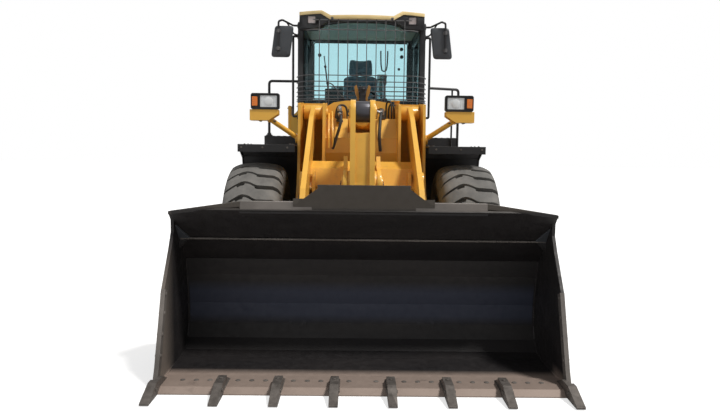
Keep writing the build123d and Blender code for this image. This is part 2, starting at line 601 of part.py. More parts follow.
with BuildPart() as side_housing:
    # rounded box on the right-hand platform, against the cab
    with BuildSketch(Plane((0, 640, 0), x_dir=(1, 0, 0), z_dir=(0, -1, 0))) as section:
        with BuildLine() as outline:
            Polyline((-WALL_FACE, 2310), (-WALL_FACE, PLATFORM_TOP + SEAT), (-915, PLATFORM_TOP + SEAT), (-915, 2170))
            RadiusArc((-915, 2170), (-WALL_FACE, 2310), -140)
        make_face(outline.edges())
    extrude(section.sketch, amount=300)
save("side_housing", side_housing)

# ================================================================ front frame
TOWER = ((400, 430), (670, 700))  # x of each tower's two upright plates
TOWER_IN, TOWER_OUT = TOWER[0][0], TOWER[1][1]
CHEEK = [  # outline of a tower plate, (y, z)
    (-1105, 2228), (-680, 2262), (-545, 2262), (-470, 2080), (-120, 1120), (-120, 760), (-500, 720), (-900, 965),
    (-1400, 965), (-1430, 1060), (-1180, 1500),
]
ARM_PIN_R, LIFT_PIN_R, TILT_PIN_R, CRANK_PIN_R, BUCKET_PIN_R, LINK_PIN_R, STEER_PIN_R = 55, 50, 45, 48, 48, 42, 28
TILT_EAR = (100, 145)  # x of each ear of the tilt cylinder's base
CRANK_PLATE = (70, 120)  # x of each plate of the bell crank
NOSE_REAR = HITCH_Y - 300

with BuildPart() as front_frame:
    for s, _ in SIDES:
        for x0, x1 in TOWER:
            plate(CHEEK, s * x0, s * x1)
        # web closing the tower's back, and its cap
        plate([(-470, 2080), (-495, 2080), (-150, 1120), (-150, 760), (-120, 760), (-120, 1120)],
              s * TOWER_IN, s * TOWER_OUT)
        plate([(-670, 2230), (-670, 2262), (-545, 2262), (-470, 2080), (-495, 2070), (-566, 2230)],
              s * TOWER_IN, s * TOWER_OUT)
        # pins of the arm and of the lift cylinder, each with a cap outside the tower
        for pin, radius in ((ARM_PIN, ARM_PIN_R), (LIFT_BASE_PIN, LIFT_PIN_R)):
            cross_bar(pin, radius, s * (TOWER_IN - 12), s * (TOWER_OUT + 12))
            cross_bar(pin, radius + 25, s * (TOWER_OUT - 1), s * (TOWER_OUT + 14))
    # plate behind the tilt cylinder, and the beam between the towers with its two shoulders
    cross_section([(-TOWER_IN - 5, 1900), (-TOWER_IN - 5, 2240), (-330, 2285), (-180, 2308), (180, 2308),
                   (330, 2285), (TOWER_IN + 5, 2240), (TOWER_IN + 5, 1900)], -538, -518)
    plate([(-1005, 1860), (-940, 1925), (-560, 1925), (-560, 1560), (-900, 1530), (-1000, 1700)],
          -TOWER_IN, TOWER_IN)
    for s, _ in SIDES:
        plate([(-1005, 1860), (-815, 2085), (-640, 2085), (-560, 1925), (-560, 1860)],
              s * 160, s * TOWER_IN)
        # ear of the tilt cylinder's base pin
        x0, x1 = s * TILT_EAR[0], s * TILT_EAR[1]
        link_plate([(TILT_BASE_PIN, 85), ((-640, 1700), 140)], x0, x1)
        cross_bar(TILT_BASE_PIN, 62, x1 - s, x1 + s * 14)
    cross_bar(TILT_BASE_PIN, TILT_PIN_R, -TILT_EAR[1], TILT_EAR[1])
    # lower body: floor, cross wall and the nose at the hitch
    block(-TOWER_IN, TOWER_IN, -1400, -100, 965, 1000)
    block(-TOWER_IN, TOWER_IN, -300, -260, 1000, 1560)
    block(-262, 262, -1410, -262, 760, 1010, mode=Mode.SUBTRACT)
    for s, _ in SIDES:
        plate([(-130, 600), (-130, 1280), (NOSE_REAR, 1280), (NOSE_REAR, 590)], s * 190, s * 215)
        # pads that carry the axle
        block(s * 310, s * 440, FRONT_AXLE_Y - 120, FRONT_AXLE_Y + 120, AXLE_Z + 175, AXLE_Z + 180)
    block(-430, 430, -160, -120, 600, 1280)
    block(-120, 120, -170, -110, 800, 1060, mode=Mode.SUBTRACT)
    for z in HITCH_LUG_Z:
        slab([(-LUG_R, HITCH_Y), (LUG_R, HITCH_Y), (300, -130), (-300, -130)],
             z - LUG_THICK / 2, z + LUG_THICK / 2)
        post(0, HITCH_Y, LUG_R, z - LUG_THICK / 2, z + LUG_THICK / 2)
        post(0, HITCH_Y, HITCH_PIN_R + PIN_GAP, z - 40, z + 40, mode=Mode.SUBTRACT)
    # clevis plates of the steering cylinders' rod ends
    for s, _ in SIDES:
        for low in (STEER_Z - STEER_EYE - 35, STEER_Z + STEER_EYE):
            block(s * 215, s * 410, 0, 120, low, low + 35)
save("front_frame", front_frame)

with BuildPart() as front_fenders:
    for s, _ in SIDES:
        # a level part over the front of the tyre, then a wider part down behind it
        plate([(-1465, 1700), (-1465, 1780), (-850, 1780), (-856, 1760), (-1445, 1760), (-1445, 1700)],
              s * (TOWER_OUT + SEAT), s * 1300)
        plate([(-870, 1780), (-850, 1780), (-480, 1560), (-300, 1250), (-300, 1080), (-320, 1080),
               (-318, 1244), (-495, 1545), (-856, 1760), (-870, 1760)], s * (TOWER_OUT + SEAT), s * 1400)
save("front_fenders", front_fenders)

LAMP_X, LAMP_Y, LAMP_Z = 1040, -1405, 2146
with BuildPart() as headlamp_brackets:
    for s, _ in SIDES:
        # sloping box with its inner lower corner cut off, on a tube from the tower
        cross_section([(s * 985, 2030), (s * 1170, 2030), (s * 1170, LAMP_Z - SEAT), (s * 895, LAMP_Z - SEAT),
                       (s * 895, 2100)], LAMP_Y + 20, LAMP_Y + 160)
        bar((s * 1000, LAMP_Y + 120, 2060), (s * 724, -1060, 1850), 27)
        cross_bar((-1060, 1850), 55, s * (TOWER_OUT + SEAT), s * 730)
save("headlamp_brackets", headlamp_brackets)

with BuildPart() as headlamps:
    for s, _ in SIDES:
        with BuildSketch(Plane((0, LAMP_Y + 170, 0), x_dir=(1, 0, 0), z_dir=(0, -1, 0))) as shell:
            with Locations((s * LAMP_X, LAMP_Z + 92)):
                RectangleRounded(320, 184, 22)
        extrude(shell.sketch, amount=170)
save("headlamps", headlamps)

with BuildPart() as control_valve:
    for x, top in ((-215, 2215), (235, 2170)):
        post(x, -735, 42, 2085 + SEAT, 2105)
        post(x, -735, 28, 2100, top)
        block(x - 36, x + 36, -765, -705, top - 60, top - 20)
save("control_valve", control_valve)

# ================================================================ arms and linkage
ARM_OUTLINE = [  # (y, z), from the bucket pin up the front, along the top, and back underneath
    (-2655, 430), (-2625, 500), (-2425, 800), (-2365, 1000), (-2375, 1280), (-2305, 1375),
    (-1150, 2090), (-800, 2222), (-745, 2235), (-680, 2205), (-655, 2150), (-668, 2080), (-720, 2003),
    (-1560, 1425), (-1720, 1370), (-1960, 1250), (-2100, 1080), (-2140, 900), (-2410, 420),
    (-2450, 335), (-2535, 300), (-2620, 335),
]
EAR_GAP = 50  # half the gap that the lift cylinder's rod eye sits in
BUCKET_EAR = (45, 75)  # the bucket's two ears stand this far from the middle of each arm
LINK_EAR = (65, 105)  # x of the bucket's ears for the link
CRANK_EAR = (145, 185)  # x of the boom's ears for the bell crank

with BuildPart() as boom:
    for s, _ in SIDES:
        middle = s * ARM_X
        plate(ARM_OUTLINE, middle - ARM_THICK / 2, middle + ARM_THICK / 2)
        cross_bar(ARM_PIN, 85, middle - 105, middle + 105)
        cross_bar(BUCKET_PIN, 95, middle - BUCKET_EAR[0] + SEAT, middle + BUCKET_EAR[0] - SEAT)
        # cheeks that hold the lift cylinder's rod eye, and the spacer over them
        for x in (-EAR_GAP - 30, EAR_GAP):
            link_plate([(LIFT_ROD_PIN, 105), ((-1640, 1420), 90)], middle + x, middle + x + 30)
            plate([(-1740, 1350), (-1700, 1400), (-1480, 1500), (-1520, 1440), (-1700, 1325)],
                  middle + x, middle + x + 30)
        plate([(-1740, 1350), (-1700, 1400), (-1480, 1500), (-1520, 1440), (-1700, 1325)],
              middle - 80, middle + 80)
        cross_bar(ARM_PIN, ARM_PIN_R + PIN_GAP, middle - 110, middle + 110, mode=Mode.SUBTRACT)
        cross_bar(BUCKET_PIN, BUCKET_PIN_R + PIN_GAP, middle - 60, middle + 60, mode=Mode.SUBTRACT)
    # box beam between the arms
    plate([(-1645, 1360), (-1565, 1540), (-1300, 1610), (-1265, 1450), (-1365, 1310), (-1585, 1310)],
          -ARM_X + 58, ARM_X - 58)
    for s, _ in SIDES:
        # only the beam's upper part reaches the arm: the raised lift rod passes under it
        plate([(-1640, 1385), (-1565, 1540), (-1300, 1610), (-1275, 1552), (-1560, 1400)],
              s * (ARM_X - 60), s * (ARM_X - 20))
    # ears of the bell crank, with its pin
    for s, _ in SIDES:
        x0, x1 = s * CRANK_EAR[0], s * CRANK_EAR[1]
        link_plate([(CRANK_PIN, 140), ((-1480, 1450), 130)], x0, x1)
        plate([(-1830, 1500), (-1700, 1670), (-1560, 1650), (-1440, 1560), (-1500, 1450)], x0, x1)
        cross_bar(CRANK_PIN, 75, x1 - s, x1 + s * 16)
    cross_bar(CRANK_PIN, CRANK_PIN_R, -CRANK_EAR[1], CRANK_EAR[1])
save("boom", boom)

with BuildPart() as bell_crank:
    for s, _ in SIDES:
        # each plate runs from the tilt cylinder past the boom's pin down to the link
        link_plate([(ROD_PIN, 116), ((-1915, 1560), 150), (CRANK_PIN, 160), (LINK_REAR_PIN, 90)],
                   s * CRANK_PLATE[0], s * CRANK_PLATE[1])
        for pin in (ROD_PIN, LINK_REAR_PIN):
            cross_bar(pin, 62, s * (CRANK_PLATE[1] - 1), s * (CRANK_PLATE[1] + 14))
    # web between the plates
    plate([(-2040, 1500), (-2005, 1895), (-1790, 1895), (-1790, 1500), (-1820, 1250), (-1870, 900),
           (-2060, 900), (-2050, 1250)], -CRANK_PLATE[0], CRANK_PLATE[0])
    cross_bar(CRANK_PIN, 130, -CRANK_EAR[0] + SEAT, CRANK_EAR[0] - SEAT)
    cross_bar(CRANK_PIN, CRANK_PIN_R + PIN_GAP, -150, 150, mode=Mode.SUBTRACT)
save("bell_crank", bell_crank)

with BuildPart() as bucket_link:
    link_plate([(LINK_FRONT_PIN, 75), (LINK_REAR_PIN, 75)], -45, 45)
    cross_bar(LINK_FRONT_PIN, 92, -LINK_EAR[0] + SEAT, LINK_EAR[0] - SEAT)
    cross_bar(LINK_REAR_PIN, 88, -CRANK_PLATE[0] + SEAT, CRANK_PLATE[0] - SEAT)
    cross_bar(LINK_FRONT_PIN, LINK_PIN_R + PIN_GAP, -70, 70, mode=Mode.SUBTRACT)
save("bucket_link", bucket_link)

# ================================================================ bucket
BUCKET_X = 1510
SIDE_THICK = 25
RIM_X = 940  # the top edge falls away beyond this
RIM_Z, CORNER_Z = 1300, 1228
with BuildPart() as bucket:
    # wrapper: floor, curved back and the flat that leans forward over the load
    plate(behind_lip([
        (200, 0), (780, 0), (905, 25), (1010, 110), (1060, 240), (1065, 420), (1025, 680),
        (985, 830), (790, 1040), (545, 1290), (520, 1265), (770, 1018), (960, 815), (998, 672),
        (1037, 420), (1033, 248), (988, 130), (893, 52), (780, 28), (200, 28),
    ]), -BUCKET_X, BUCKET_X)
    for s, _ in SIDES:
        plate(behind_lip([
            (60, 0), (135, 146), (334, 685), (540, 966), (610, 1080), (610, 1223), (790, 1039),
            (984, 829), (1024, 679), (1064, 420), (1059, 240), (1009, 111), (905, 26), (780, 0),
        ]), s * (BUCKET_X - SIDE_THICK), s * BUCKET_X)
        # wear strip up the leading edge of the side
        plate(behind_lip([(60, 0), (135, 146), (334, 685), (394, 663), (195, 124), (120, 0)]),
              s * (BUCKET_X - SIDE_THICK - 6), s * (BUCKET_X - 1))
        # gusset where the side meets the crease
        cross_section([(s * (BUCKET_X - SIDE_THICK + 1), 1060), (s * 1400, 1012),
                       (s * (BUCKET_X - SIDE_THICK + 1), 930)], LIP_Y + 768, LIP_Y + 782)
    # cutting edge
    plate(behind_lip([(0, 0), (0, 8), (60, 40), (300, 40), (300, 0)]), -BUCKET_X, BUCKET_X)
    # rim bar along the top
    plate(behind_lip([(530, 1240), (530, RIM_Z), (590, RIM_Z), (590, 1240)]), -RIM_X - 20, RIM_X + 20)
    for s, _ in SIDES:
        cross_section([(s * RIM_X, RIM_Z + 1), (s * (BUCKET_X + 5), CORNER_Z), (s * (BUCKET_X + 5), RIM_Z + 80),
                       (s * RIM_X, RIM_Z + 80)], LIP_Y + 400, LIP_Y + 700, mode=Mode.SUBTRACT)
    # spill guard, with its top corners cut off
    plate(behind_lip([(530, 1290), (480, 1440), (492, 1440), (545, 1290)]), -545, 545)
    for s, _ in SIDES:
        cross_section([(s * 355, 1450), (s * 355, 1440), (s * 546, 1301), (s * 546, 1450)],
                      LIP_Y + 400, LIP_Y + 520, mode=Mode.SUBTRACT)
    # ears of the arm pins, in pairs, with their pins
    for middle in (-ARM_X, ARM_X):
        for x in (-BUCKET_EAR[1], BUCKET_EAR[0]):
            plate(behind_lip([(990, 105), (1050, 330), (990, 800), (1080, 830), (1400, 540), (1450, 420),
                              (1400, 310), (1330, 290), (1100, 90)]), middle + x, middle + x + 30)
        cross_bar(BUCKET_PIN, BUCKET_PIN_R, middle - BUCKET_EAR[1] - 8, middle + BUCKET_EAR[1] + 8)
    for s, _ in SIDES:
        plate(behind_lip([(1050, 450), (1010, 680), (970, 830), (1080, 850), (1190, 830), (1260, 760),
                          (1265, 690), (1220, 610), (1130, 480)]), s * LINK_EAR[0], s * LINK_EAR[1])
    cross_bar(LINK_FRONT_PIN, LINK_PIN_R, -LINK_EAR[1] - 8, LINK_EAR[1] + 8)
save("bucket", bucket)

TEETH_X = (203, 610, 1017, 1478)
TOOTH_HALF = 32
EDGE_TOP, EDGE_LOW = 40 + SEAT, -SEAT
with BuildPart() as bucket_teeth:
    for s, _ in SIDES:
        for x in TEETH_X:
            plate(behind_lip([(-220, 5), (-220, 18), (-20, 95), (120, 95), (240, EDGE_TOP),
                              (60 - SEAT, EDGE_TOP), (-SEAT, 8 + SEAT), (-SEAT, 5)]),
                  s * x - TOOTH_HALF, s * x + TOOTH_HALF)
        block(s * (BUCKET_X - SIDE_THICK - 6 - SEAT), s * (BUCKET_X + SEAT), LIP_Y + 40, LIP_Y + 260, 0, 200,
              mode=Mode.SUBTRACT)
save("bucket_teeth", bucket_teeth)

# ================================================================ cylinders
# name, base pin, rod eye, x of each, barrel radius, rod radius, barrel length, where the rod starts,
# base: eye radius, half width, pin radius; rod: eye radius, half width
PRESSES = (
    ("lift", LIFT_BASE_PIN, LIFT_ROD_PIN, (("_left", ARM_X), ("_right", -ARM_X)), 82, 45, 1290, 100,
     90, 105, LIFT_PIN_R, 84, EAR_GAP - SEAT),
    ("tilt", TILT_BASE_PIN, ROD_PIN, (("", 0),), 88, 48, 690, 490,
     96, TILT_EAR[0] - SEAT, TILT_PIN_R, 104, CRANK_PLATE[0] - SEAT),
)
BORE_START = 60  # the barrel is bored out from this far past its base pin
for (name, base, eye, places, barrel_r, rod_r, barrel_length, rod_start,
     base_r, base_half, pin_r, eye_r, eye_half) in PRESSES:
    for side, x in places:
        with BuildPart() as barrel:
            cross_bar(base, base_r, x - base_half, x + base_half)
            bar((x, *base), toward(base, eye, barrel_length, x), barrel_r)
            bar(toward(base, eye, barrel_length - 60, x), toward(base, eye, barrel_length, x), barrel_r + 12)
            bar(toward(base, eye, BORE_START, x), toward(base, eye, barrel_length + 1, x), rod_r + 1,
                mode=Mode.SUBTRACT)
            cross_bar(base, pin_r + PIN_GAP, x - base_half - 1, x + base_half + 1, mode=Mode.SUBTRACT)
        save(f"{name}_barrel{side}", barrel)
        with BuildPart() as piston_rod:
            cross_bar(eye, eye_r, x - eye_half, x + eye_half)
            bar(toward(base, eye, rod_start, x), toward(base, eye, reach(base, eye) - 20, x), rod_r)
        save(f"{name}_rod{side}", piston_rod)

for s, side in SIDES:
    start = Vector(s * STEER_REAR_PIN[0], STEER_REAR_PIN[1], STEER_Z)
    end = Vector(s * STEER_FRONT_PIN[0], STEER_FRONT_PIN[1], STEER_Z)
    line = (end - start).normalized()
    with BuildPart() as steer_barrel:
        post(start.X, start.Y, 55, STEER_Z - STEER_EYE, STEER_Z + STEER_EYE)
        bar(tuple(start), tuple(start + line * 690), 42)
        bar(tuple(start + line * 120), tuple(start + line * 691), 26, mode=Mode.SUBTRACT)
        post(start.X, start.Y, STEER_PIN_R + PIN_GAP, STEER_Z - 60, STEER_Z + 60, mode=Mode.SUBTRACT)
    save(f"steer_barrel_{side}", steer_barrel)
    with BuildPart() as steer_rod:
        post(end.X, end.Y, 48, STEER_Z - STEER_EYE + SEAT, STEER_Z + STEER_EYE - SEAT)
        bar(tuple(start + line * 440), tuple(end), 25)
    save(f"steer_rod_{side}", steer_rod)
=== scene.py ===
"""The looks of an articulated wheel loader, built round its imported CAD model.

Metres. +Z is up, -Y is the way the machine drives forward, +X is its left-hand side.
"""
import math
import random

import bmesh
import bpy
from mathutils import Matrix, Vector


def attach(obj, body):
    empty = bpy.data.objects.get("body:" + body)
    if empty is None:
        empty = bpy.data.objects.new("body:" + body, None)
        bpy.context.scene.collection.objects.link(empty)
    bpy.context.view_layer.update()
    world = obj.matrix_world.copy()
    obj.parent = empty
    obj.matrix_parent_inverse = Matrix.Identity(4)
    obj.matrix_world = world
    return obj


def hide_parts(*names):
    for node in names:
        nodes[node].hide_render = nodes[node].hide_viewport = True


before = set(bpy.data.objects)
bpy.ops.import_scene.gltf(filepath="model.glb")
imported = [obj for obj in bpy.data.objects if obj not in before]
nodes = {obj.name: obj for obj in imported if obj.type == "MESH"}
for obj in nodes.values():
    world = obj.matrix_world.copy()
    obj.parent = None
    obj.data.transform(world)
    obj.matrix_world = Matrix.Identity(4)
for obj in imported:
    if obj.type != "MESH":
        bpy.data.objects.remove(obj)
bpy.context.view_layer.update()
random.seed(7)
SIDES = ((1, "left"), (-1, "right"))  # sign of x on the machine's own left and right

# ---------------------------------------------------------------- materials
MIX_A, MIX_B, MIX_OUT = 6, 7, 2  # colour sockets of a Mix node


def new_material(name):
    """An empty node material: (material, node tree, its Principled shader)."""
    made = bpy.data.materials.new(name)
    made.use_nodes = True
    return made, made.node_tree, made.node_tree.nodes["Principled BSDF"]


def add_node(tree, kind, **settings):
    """A new node with its settings."""
    made = tree.nodes.new(kind)
    for key, value in settings.items():
        setattr(made, key, value)
    return made


def noise_of(tree, scale, detail=4.0, roughness=0.55, stretch=(1, 1, 1)):
    """Noise over the object's own coordinates, as a grey output."""
    place = add_node(tree, "ShaderNodeTexCoord")
    mapping = add_node(tree, "ShaderNodeMapping")
    mapping.inputs["Scale"].default_value = stretch
    made = add_node(tree, "ShaderNodeTexNoise")
    made.inputs["Scale"].default_value = scale
    made.inputs["Detail"].default_value = detail
    made.inputs["Roughness"].default_value = roughness
    tree.links.new(place.outputs["Object"], mapping.inputs["Vector"])
    tree.links.new(mapping.outputs["Vector"], made.inputs["Vector"])
    return made.outputs["Fac"]


def ramp(tree, source, low, high, values=(0.0, 1.0)):
    """Map a grey input from low..high to the two values, clamped."""
    made = add_node(tree, "ShaderNodeMapRange")
    made.inputs["From Min"].default_value = low
    made.inputs["From Max"].default_value = high
    made.inputs["To Min"].default_value = values[0]
    made.inputs["To Max"].default_value = values[1]
    tree.links.new(source, made.inputs["Value"])
    return made.outputs["Result"]


def mix(tree, factor, first, second):
    """Blend two colours. Each is a colour, or an output to read one from."""
    made = add_node(tree, "ShaderNodeMix", data_type="RGBA")
    tree.links.new(factor, made.inputs["Factor"])
    for socket, colour in ((MIX_A, first), (MIX_B, second)):
        if isinstance(colour, tuple):
            made.inputs[socket].default_value = (*colour, 1)
        else:
            tree.links.new(colour, made.inputs[socket])
    return made.outputs[MIX_OUT]


def times(tree, first, second):
    """The product of two grey outputs."""
    made = add_node(tree, "ShaderNodeMath", operation="MULTIPLY")
    tree.links.new(first, made.inputs[0])
    tree.links.new(second, made.inputs[1])
    return made.outputs[0]


def height(tree, axis="Z"):
    """The object's own coordinate along one axis."""
    place = add_node(tree, "ShaderNodeTexCoord")
    split = add_node(tree, "ShaderNodeSeparateXYZ")
    tree.links.new(place.outputs["Object"], split.inputs[0])
    return split.outputs[axis]


def bump(tree, shader, source, strength, distance):
    """Relief from a grey output."""
    made = add_node(tree, "ShaderNodeBump")
    made.inputs["Strength"].default_value = strength
    made.inputs["Distance"].default_value = distance
    tree.links.new(source, made.inputs["Height"])
    tree.links.new(made.outputs["Normal"], shader.inputs["Normal"])


def painted(name, colour, shade, roughness=0.35, metallic=0.0, grime=None, coat=0.0):
    """Paint or plastic: a slow change of tone, fine orange peel, and grime gathered lower down."""
    made, tree, shader = new_material(name)
    tone = ramp(tree, noise_of(tree, 2.2, 5), 0.35, 0.68)
    result = mix(tree, tone, colour, shade)
    if grime:
        spots = ramp(tree, noise_of(tree, 9, 8, 0.65), 0.56, 0.74)
        low = ramp(tree, height(tree), 2.4, 0.2, (0.05, 0.85))
        result = mix(tree, times(tree, spots, low), result, grime)
    tree.links.new(result, shader.inputs["Base Color"])
    gloss = ramp(tree, noise_of(tree, 14, 6), 0.3, 0.75, (roughness * 0.85, min(1, roughness * 1.3)))
    tree.links.new(gloss, shader.inputs["Roughness"])
    shader.inputs["Metallic"].default_value = metallic
    shader.inputs["Coat Weight"].default_value = coat
    shader.inputs["Coat Roughness"].default_value = 0.12
    bump(tree, shader, noise_of(tree, 180, 2), 0.12, 0.0006)
    return made


YELLOW = painted("yellow_paint", (0.85, 0.48, 0.075), (0.79, 0.43, 0.062), 0.38, grime=(0.40, 0.24, 0.09),
                 coat=0.25)
PALE = painted("pale_roof_paint", (0.88, 0.68, 0.33), (0.83, 0.62, 0.28), 0.4, coat=0.2)
BLACK = painted("black_paint", (0.016, 0.016, 0.018), (0.026, 0.026, 0.029), 0.38, grime=(0.055, 0.048, 0.04))
GREY = painted("grey_paint", (0.12, 0.12, 0.125), (0.08, 0.08, 0.085), 0.5, grime=(0.10, 0.08, 0.06))
IRON = painted("cast_iron", (0.09, 0.085, 0.08), (0.06, 0.055, 0.05), 0.62, metallic=0.3)
PLASTIC = painted("black_plastic", (0.010, 0.010, 0.011), (0.018, 0.018, 0.020), 0.5)
ROD_STEEL = painted("dark_rod", (0.10, 0.10, 0.115), (0.07, 0.07, 0.08), 0.4, metallic=0.55)
CHROME = painted("chromed_rod", (0.72, 0.73, 0.75), (0.62, 0.63, 0.66), 0.12, metallic=1.0)


def rubber():
    """Tyre rubber: dusty grey in patches, with fine moulded grain."""
    made, tree, shader = new_material("tyre_rubber")
    dust = ramp(tree, noise_of(tree, 7, 7, 0.6), 0.32, 0.72)
    result = mix(tree, dust, (0.105, 0.103, 0.098), (0.195, 0.187, 0.175))
    tree.links.new(result, shader.inputs["Base Color"])
    shader.inputs["Roughness"].default_value = 0.78
    bump(tree, shader, noise_of(tree, 260, 3), 0.25, 0.0008)
    return made


def bucket_steel():
    """Dark paint over steel, near black inside; painted sky light low on the back, painted sunlight on the
    bare lip and on the right wall's front.
    """
    made, tree, shader = new_material("bucket_steel")
    streaks = ramp(tree, noise_of(tree, 3.0, 7, 0.6, (0.35, 1.6, 2.2)), 0.30, 0.72)
    result = mix(tree, streaks, (0.012, 0.011, 0.012), (0.024, 0.021, 0.021))
    # painted reflection of the sky: a bluish band low on the shaded back, inside only
    painted_sky_band = times(tree, ramp(tree, height(tree, "Z"), 0.62, 0.52),
                     ramp(tree, height(tree, "Z"), 0.24, 0.32))
    inside = times(tree, ramp(tree, height(tree, "X"), -1.475, -1.465),
                   ramp(tree, height(tree, "X"), 1.475, 1.465))
    inside = times(tree, inside, ramp(tree, height(tree, "Y"), -2.800, -2.818))
    result = mix(tree, times(tree, painted_sky_band, inside), result, (0.036, 0.043, 0.070))
    # scraped bare towards the lip: partly wear, partly painted sunlight, ending where the rim's shadow falls
    # on the floor; and dusty along the rim
    bare_and_sunlit = times(tree, ramp(tree, height(tree, "Z"), 0.115, 0.035),
                 ramp(tree, height(tree, "Y"), -3.38, -3.50))
    worn_and_sunlit = times(tree, bare_and_sunlit, ramp(tree, noise_of(tree, 6, 8, 0.7, (0.6, 1.4, 1)), 0.12, 0.40))
    result = mix(tree, worn_and_sunlit, result, (0.30, 0.235, 0.20))
    result = mix(tree, ramp(tree, height(tree, "Z"), 1.262, 1.292), result, (0.066, 0.056, 0.046))
    # painted sunlight on the front of the machine's right wall
    painted_sunlit_wall = times(tree, ramp(tree, height(tree, "X"), -1.479, -1.4835),
                 ramp(tree, height(tree, "Y"), -3.28, -3.56))
    result = mix(tree, painted_sunlit_wall, result, (0.17, 0.145, 0.125))
    tree.links.new(result, shader.inputs["Base Color"])
    tree.links.new(ramp(tree, noise_of(tree, 20, 6), 0.3, 0.75, (0.42, 0.66)), shader.inputs["Roughness"])
    shader.inputs["Metallic"].default_value = 0.25
    bump(tree, shader, noise_of(tree, 60, 5), 0.25, 0.001)
    return made


def worn_steel():
    """Steel worn to a streaky brown grey."""
    made, tree, shader = new_material("worn_steel")
    streaks = ramp(tree, noise_of(tree, 9, 9, 0.7), 0.3, 0.7)
    result = mix(tree, streaks, (0.075, 0.066, 0.060), (0.20, 0.18, 0.165))
    tree.links.new(result, shader.inputs["Base Color"])
    tree.links.new(ramp(tree, noise_of(tree, 30, 6), 0.3, 0.75, (0.38, 0.7)), shader.inputs["Roughness"])
    shader.inputs["Metallic"].default_value = 0.55
    bump(tree, shader, noise_of(tree, 120, 5), 0.4, 0.0012)
    return made


def glass(name, tint, roughness=0.02):
    """Clear glass with a tint and a slight smear."""
    made, tree, shader = new_material(name)
    smear = ramp(tree, noise_of(tree, 4, 5), 0.35, 0.75, (roughness, roughness + 0.06))
    tree.links.new(smear, shader.inputs["Roughness"])
    shader.inputs["Base Color"].default_value = (*tint, 1)
    shader.inputs["Transmission Weight"].default_value = 1.0
    shader.inputs["IOR"].default_value = 1.2
    return made


def lens(name, colour):
    """A lamp's lens, with fine upright ribs."""
    made, tree, shader = new_material(name)
    ribs = add_node(tree, "ShaderNodeTexWave", wave_type="BANDS", bands_direction="X")
    place = add_node(tree, "ShaderNodeTexCoord")
    tree.links.new(place.outputs["Object"], ribs.inputs["Vector"])
    ribs.inputs["Scale"].default_value = 40
    shader.inputs["Base Color"].default_value = (*colour, 1)
    shader.inputs["Roughness"].default_value = 0.12
    shader.inputs["Coat Weight"].default_value = 1.0
    bump(tree, shader, ribs.outputs["Fac"], 0.35, 0.002)
    return made


def fabric(name, colour, shade):
    """Woven cloth."""
    made, tree, shader = new_material(name)
    place = add_node(tree, "ShaderNodeTexCoord")
    weave = add_node(tree, "ShaderNodeTexVoronoi", feature="F1")
    weave.inputs["Scale"].default_value = 420
    tree.links.new(place.outputs["Object"], weave.inputs["Vector"])
    result = mix(tree, ramp(tree, noise_of(tree, 30, 5), 0.3, 0.7), colour, shade)
    tree.links.new(result, shader.inputs["Base Color"])
    shader.inputs["Roughness"].default_value = 0.9
    shader.inputs["Sheen Weight"].default_value = 0.3
    bump(tree, shader, weave.outputs["Distance"], 0.4, 0.0008)
    return made


RUBBER = rubber()
BUCKET = bucket_steel()
STEEL = worn_steel()
TINTED = glass("tinted_glass", (0.66, 0.86, 0.89))
CLOTH = fabric("seat_cloth", (0.085, 0.120, 0.150), (0.115, 0.150, 0.185))
CLEAR_LENS = lens("clear_lens", (0.75, 0.78, 0.8))
AMBER_LENS = lens("amber_lens", (0.85, 0.22, 0.02))
RED_LENS = lens("red_lens", (0.55, 0.02, 0.015))
SHELL = painted("shell_plastic", (0.045, 0.050, 0.058), (0.060, 0.066, 0.075), 0.45)
BRIGHT = painted("plated_fitting", (0.50, 0.50, 0.51), (0.36, 0.36, 0.37), 0.32, metallic=0.8)
EDGE_STEEL = painted("scraped_edge", (0.20, 0.18, 0.165), (0.10, 0.09, 0.082), 0.5, metallic=0.3)
# yellow paint darkened to ochre: painted shade, for yellow parts that sit in shadow
SHADED_YELLOW = painted("yellow_in_painted_shade", (0.42, 0.20, 0.035), (0.33, 0.15, 0.03), 0.5)
HEADLINER = painted("headliner", (0.62, 0.66, 0.62), (0.52, 0.56, 0.52), 0.9)
WORK_LENS = lens("work_lens", (0.62, 0.55, 0.54))
RUBBER_SEAL = painted("rubber_seal", (0.012, 0.012, 0.012), (0.02, 0.02, 0.02), 0.7)
HOSE = painted("hose_rubber", (0.02, 0.02, 0.02), (0.035, 0.034, 0.032), 0.6)
MIRROR = painted("mirror_glass", (0.75, 0.77, 0.8), (0.7, 0.72, 0.75), 0.05, metallic=1.0)

# material of each CAD node, by the start of its name; the first that fits is used
NODE_MATERIALS = (
    ("rim_", YELLOW), ("tyre_", RUBBER), ("cab_glass", TINTED), ("cab_door_glass", TINTED),
    ("rear_axle", GREY), ("front_axle", GREY), ("rear_drive", GREY), ("front_drive", GREY),
    ("rear_frame", BLACK), ("engine_hood", YELLOW), ("engine", IRON), ("counterweight", BLACK),
    ("rear_fenders", PLASTIC), ("side_tanks", SHELL), ("side_housing", YELLOW), ("cab_frame", BLACK),
    ("cab_door", BLACK), ("cab_roof", PALE), ("windshield_guard", GREY), ("operator_seat", CLOTH),
    ("steering_console", PLASTIC), ("handrails", BLACK), ("mirrors", PLASTIC), ("exhaust_stack", CHROME),
    ("hood_door", YELLOW), ("rear_grille", BLACK), ("front_frame", YELLOW), ("front_fenders", PLASTIC),
    ("headlamp_brackets", YELLOW), ("headlamps", PLASTIC), ("control_valve", IRON), ("boom", YELLOW),
    ("bell_crank", YELLOW), ("bucket_link", YELLOW), ("bucket_teeth", STEEL), ("bucket", BUCKET),
    ("tilt_barrel", YELLOW), ("lift_barrel", YELLOW), ("steer_barrel", YELLOW), ("tilt_rod", ROD_STEEL),
    ("lift_rod", CHROME), ("steer_rod", CHROME),
)
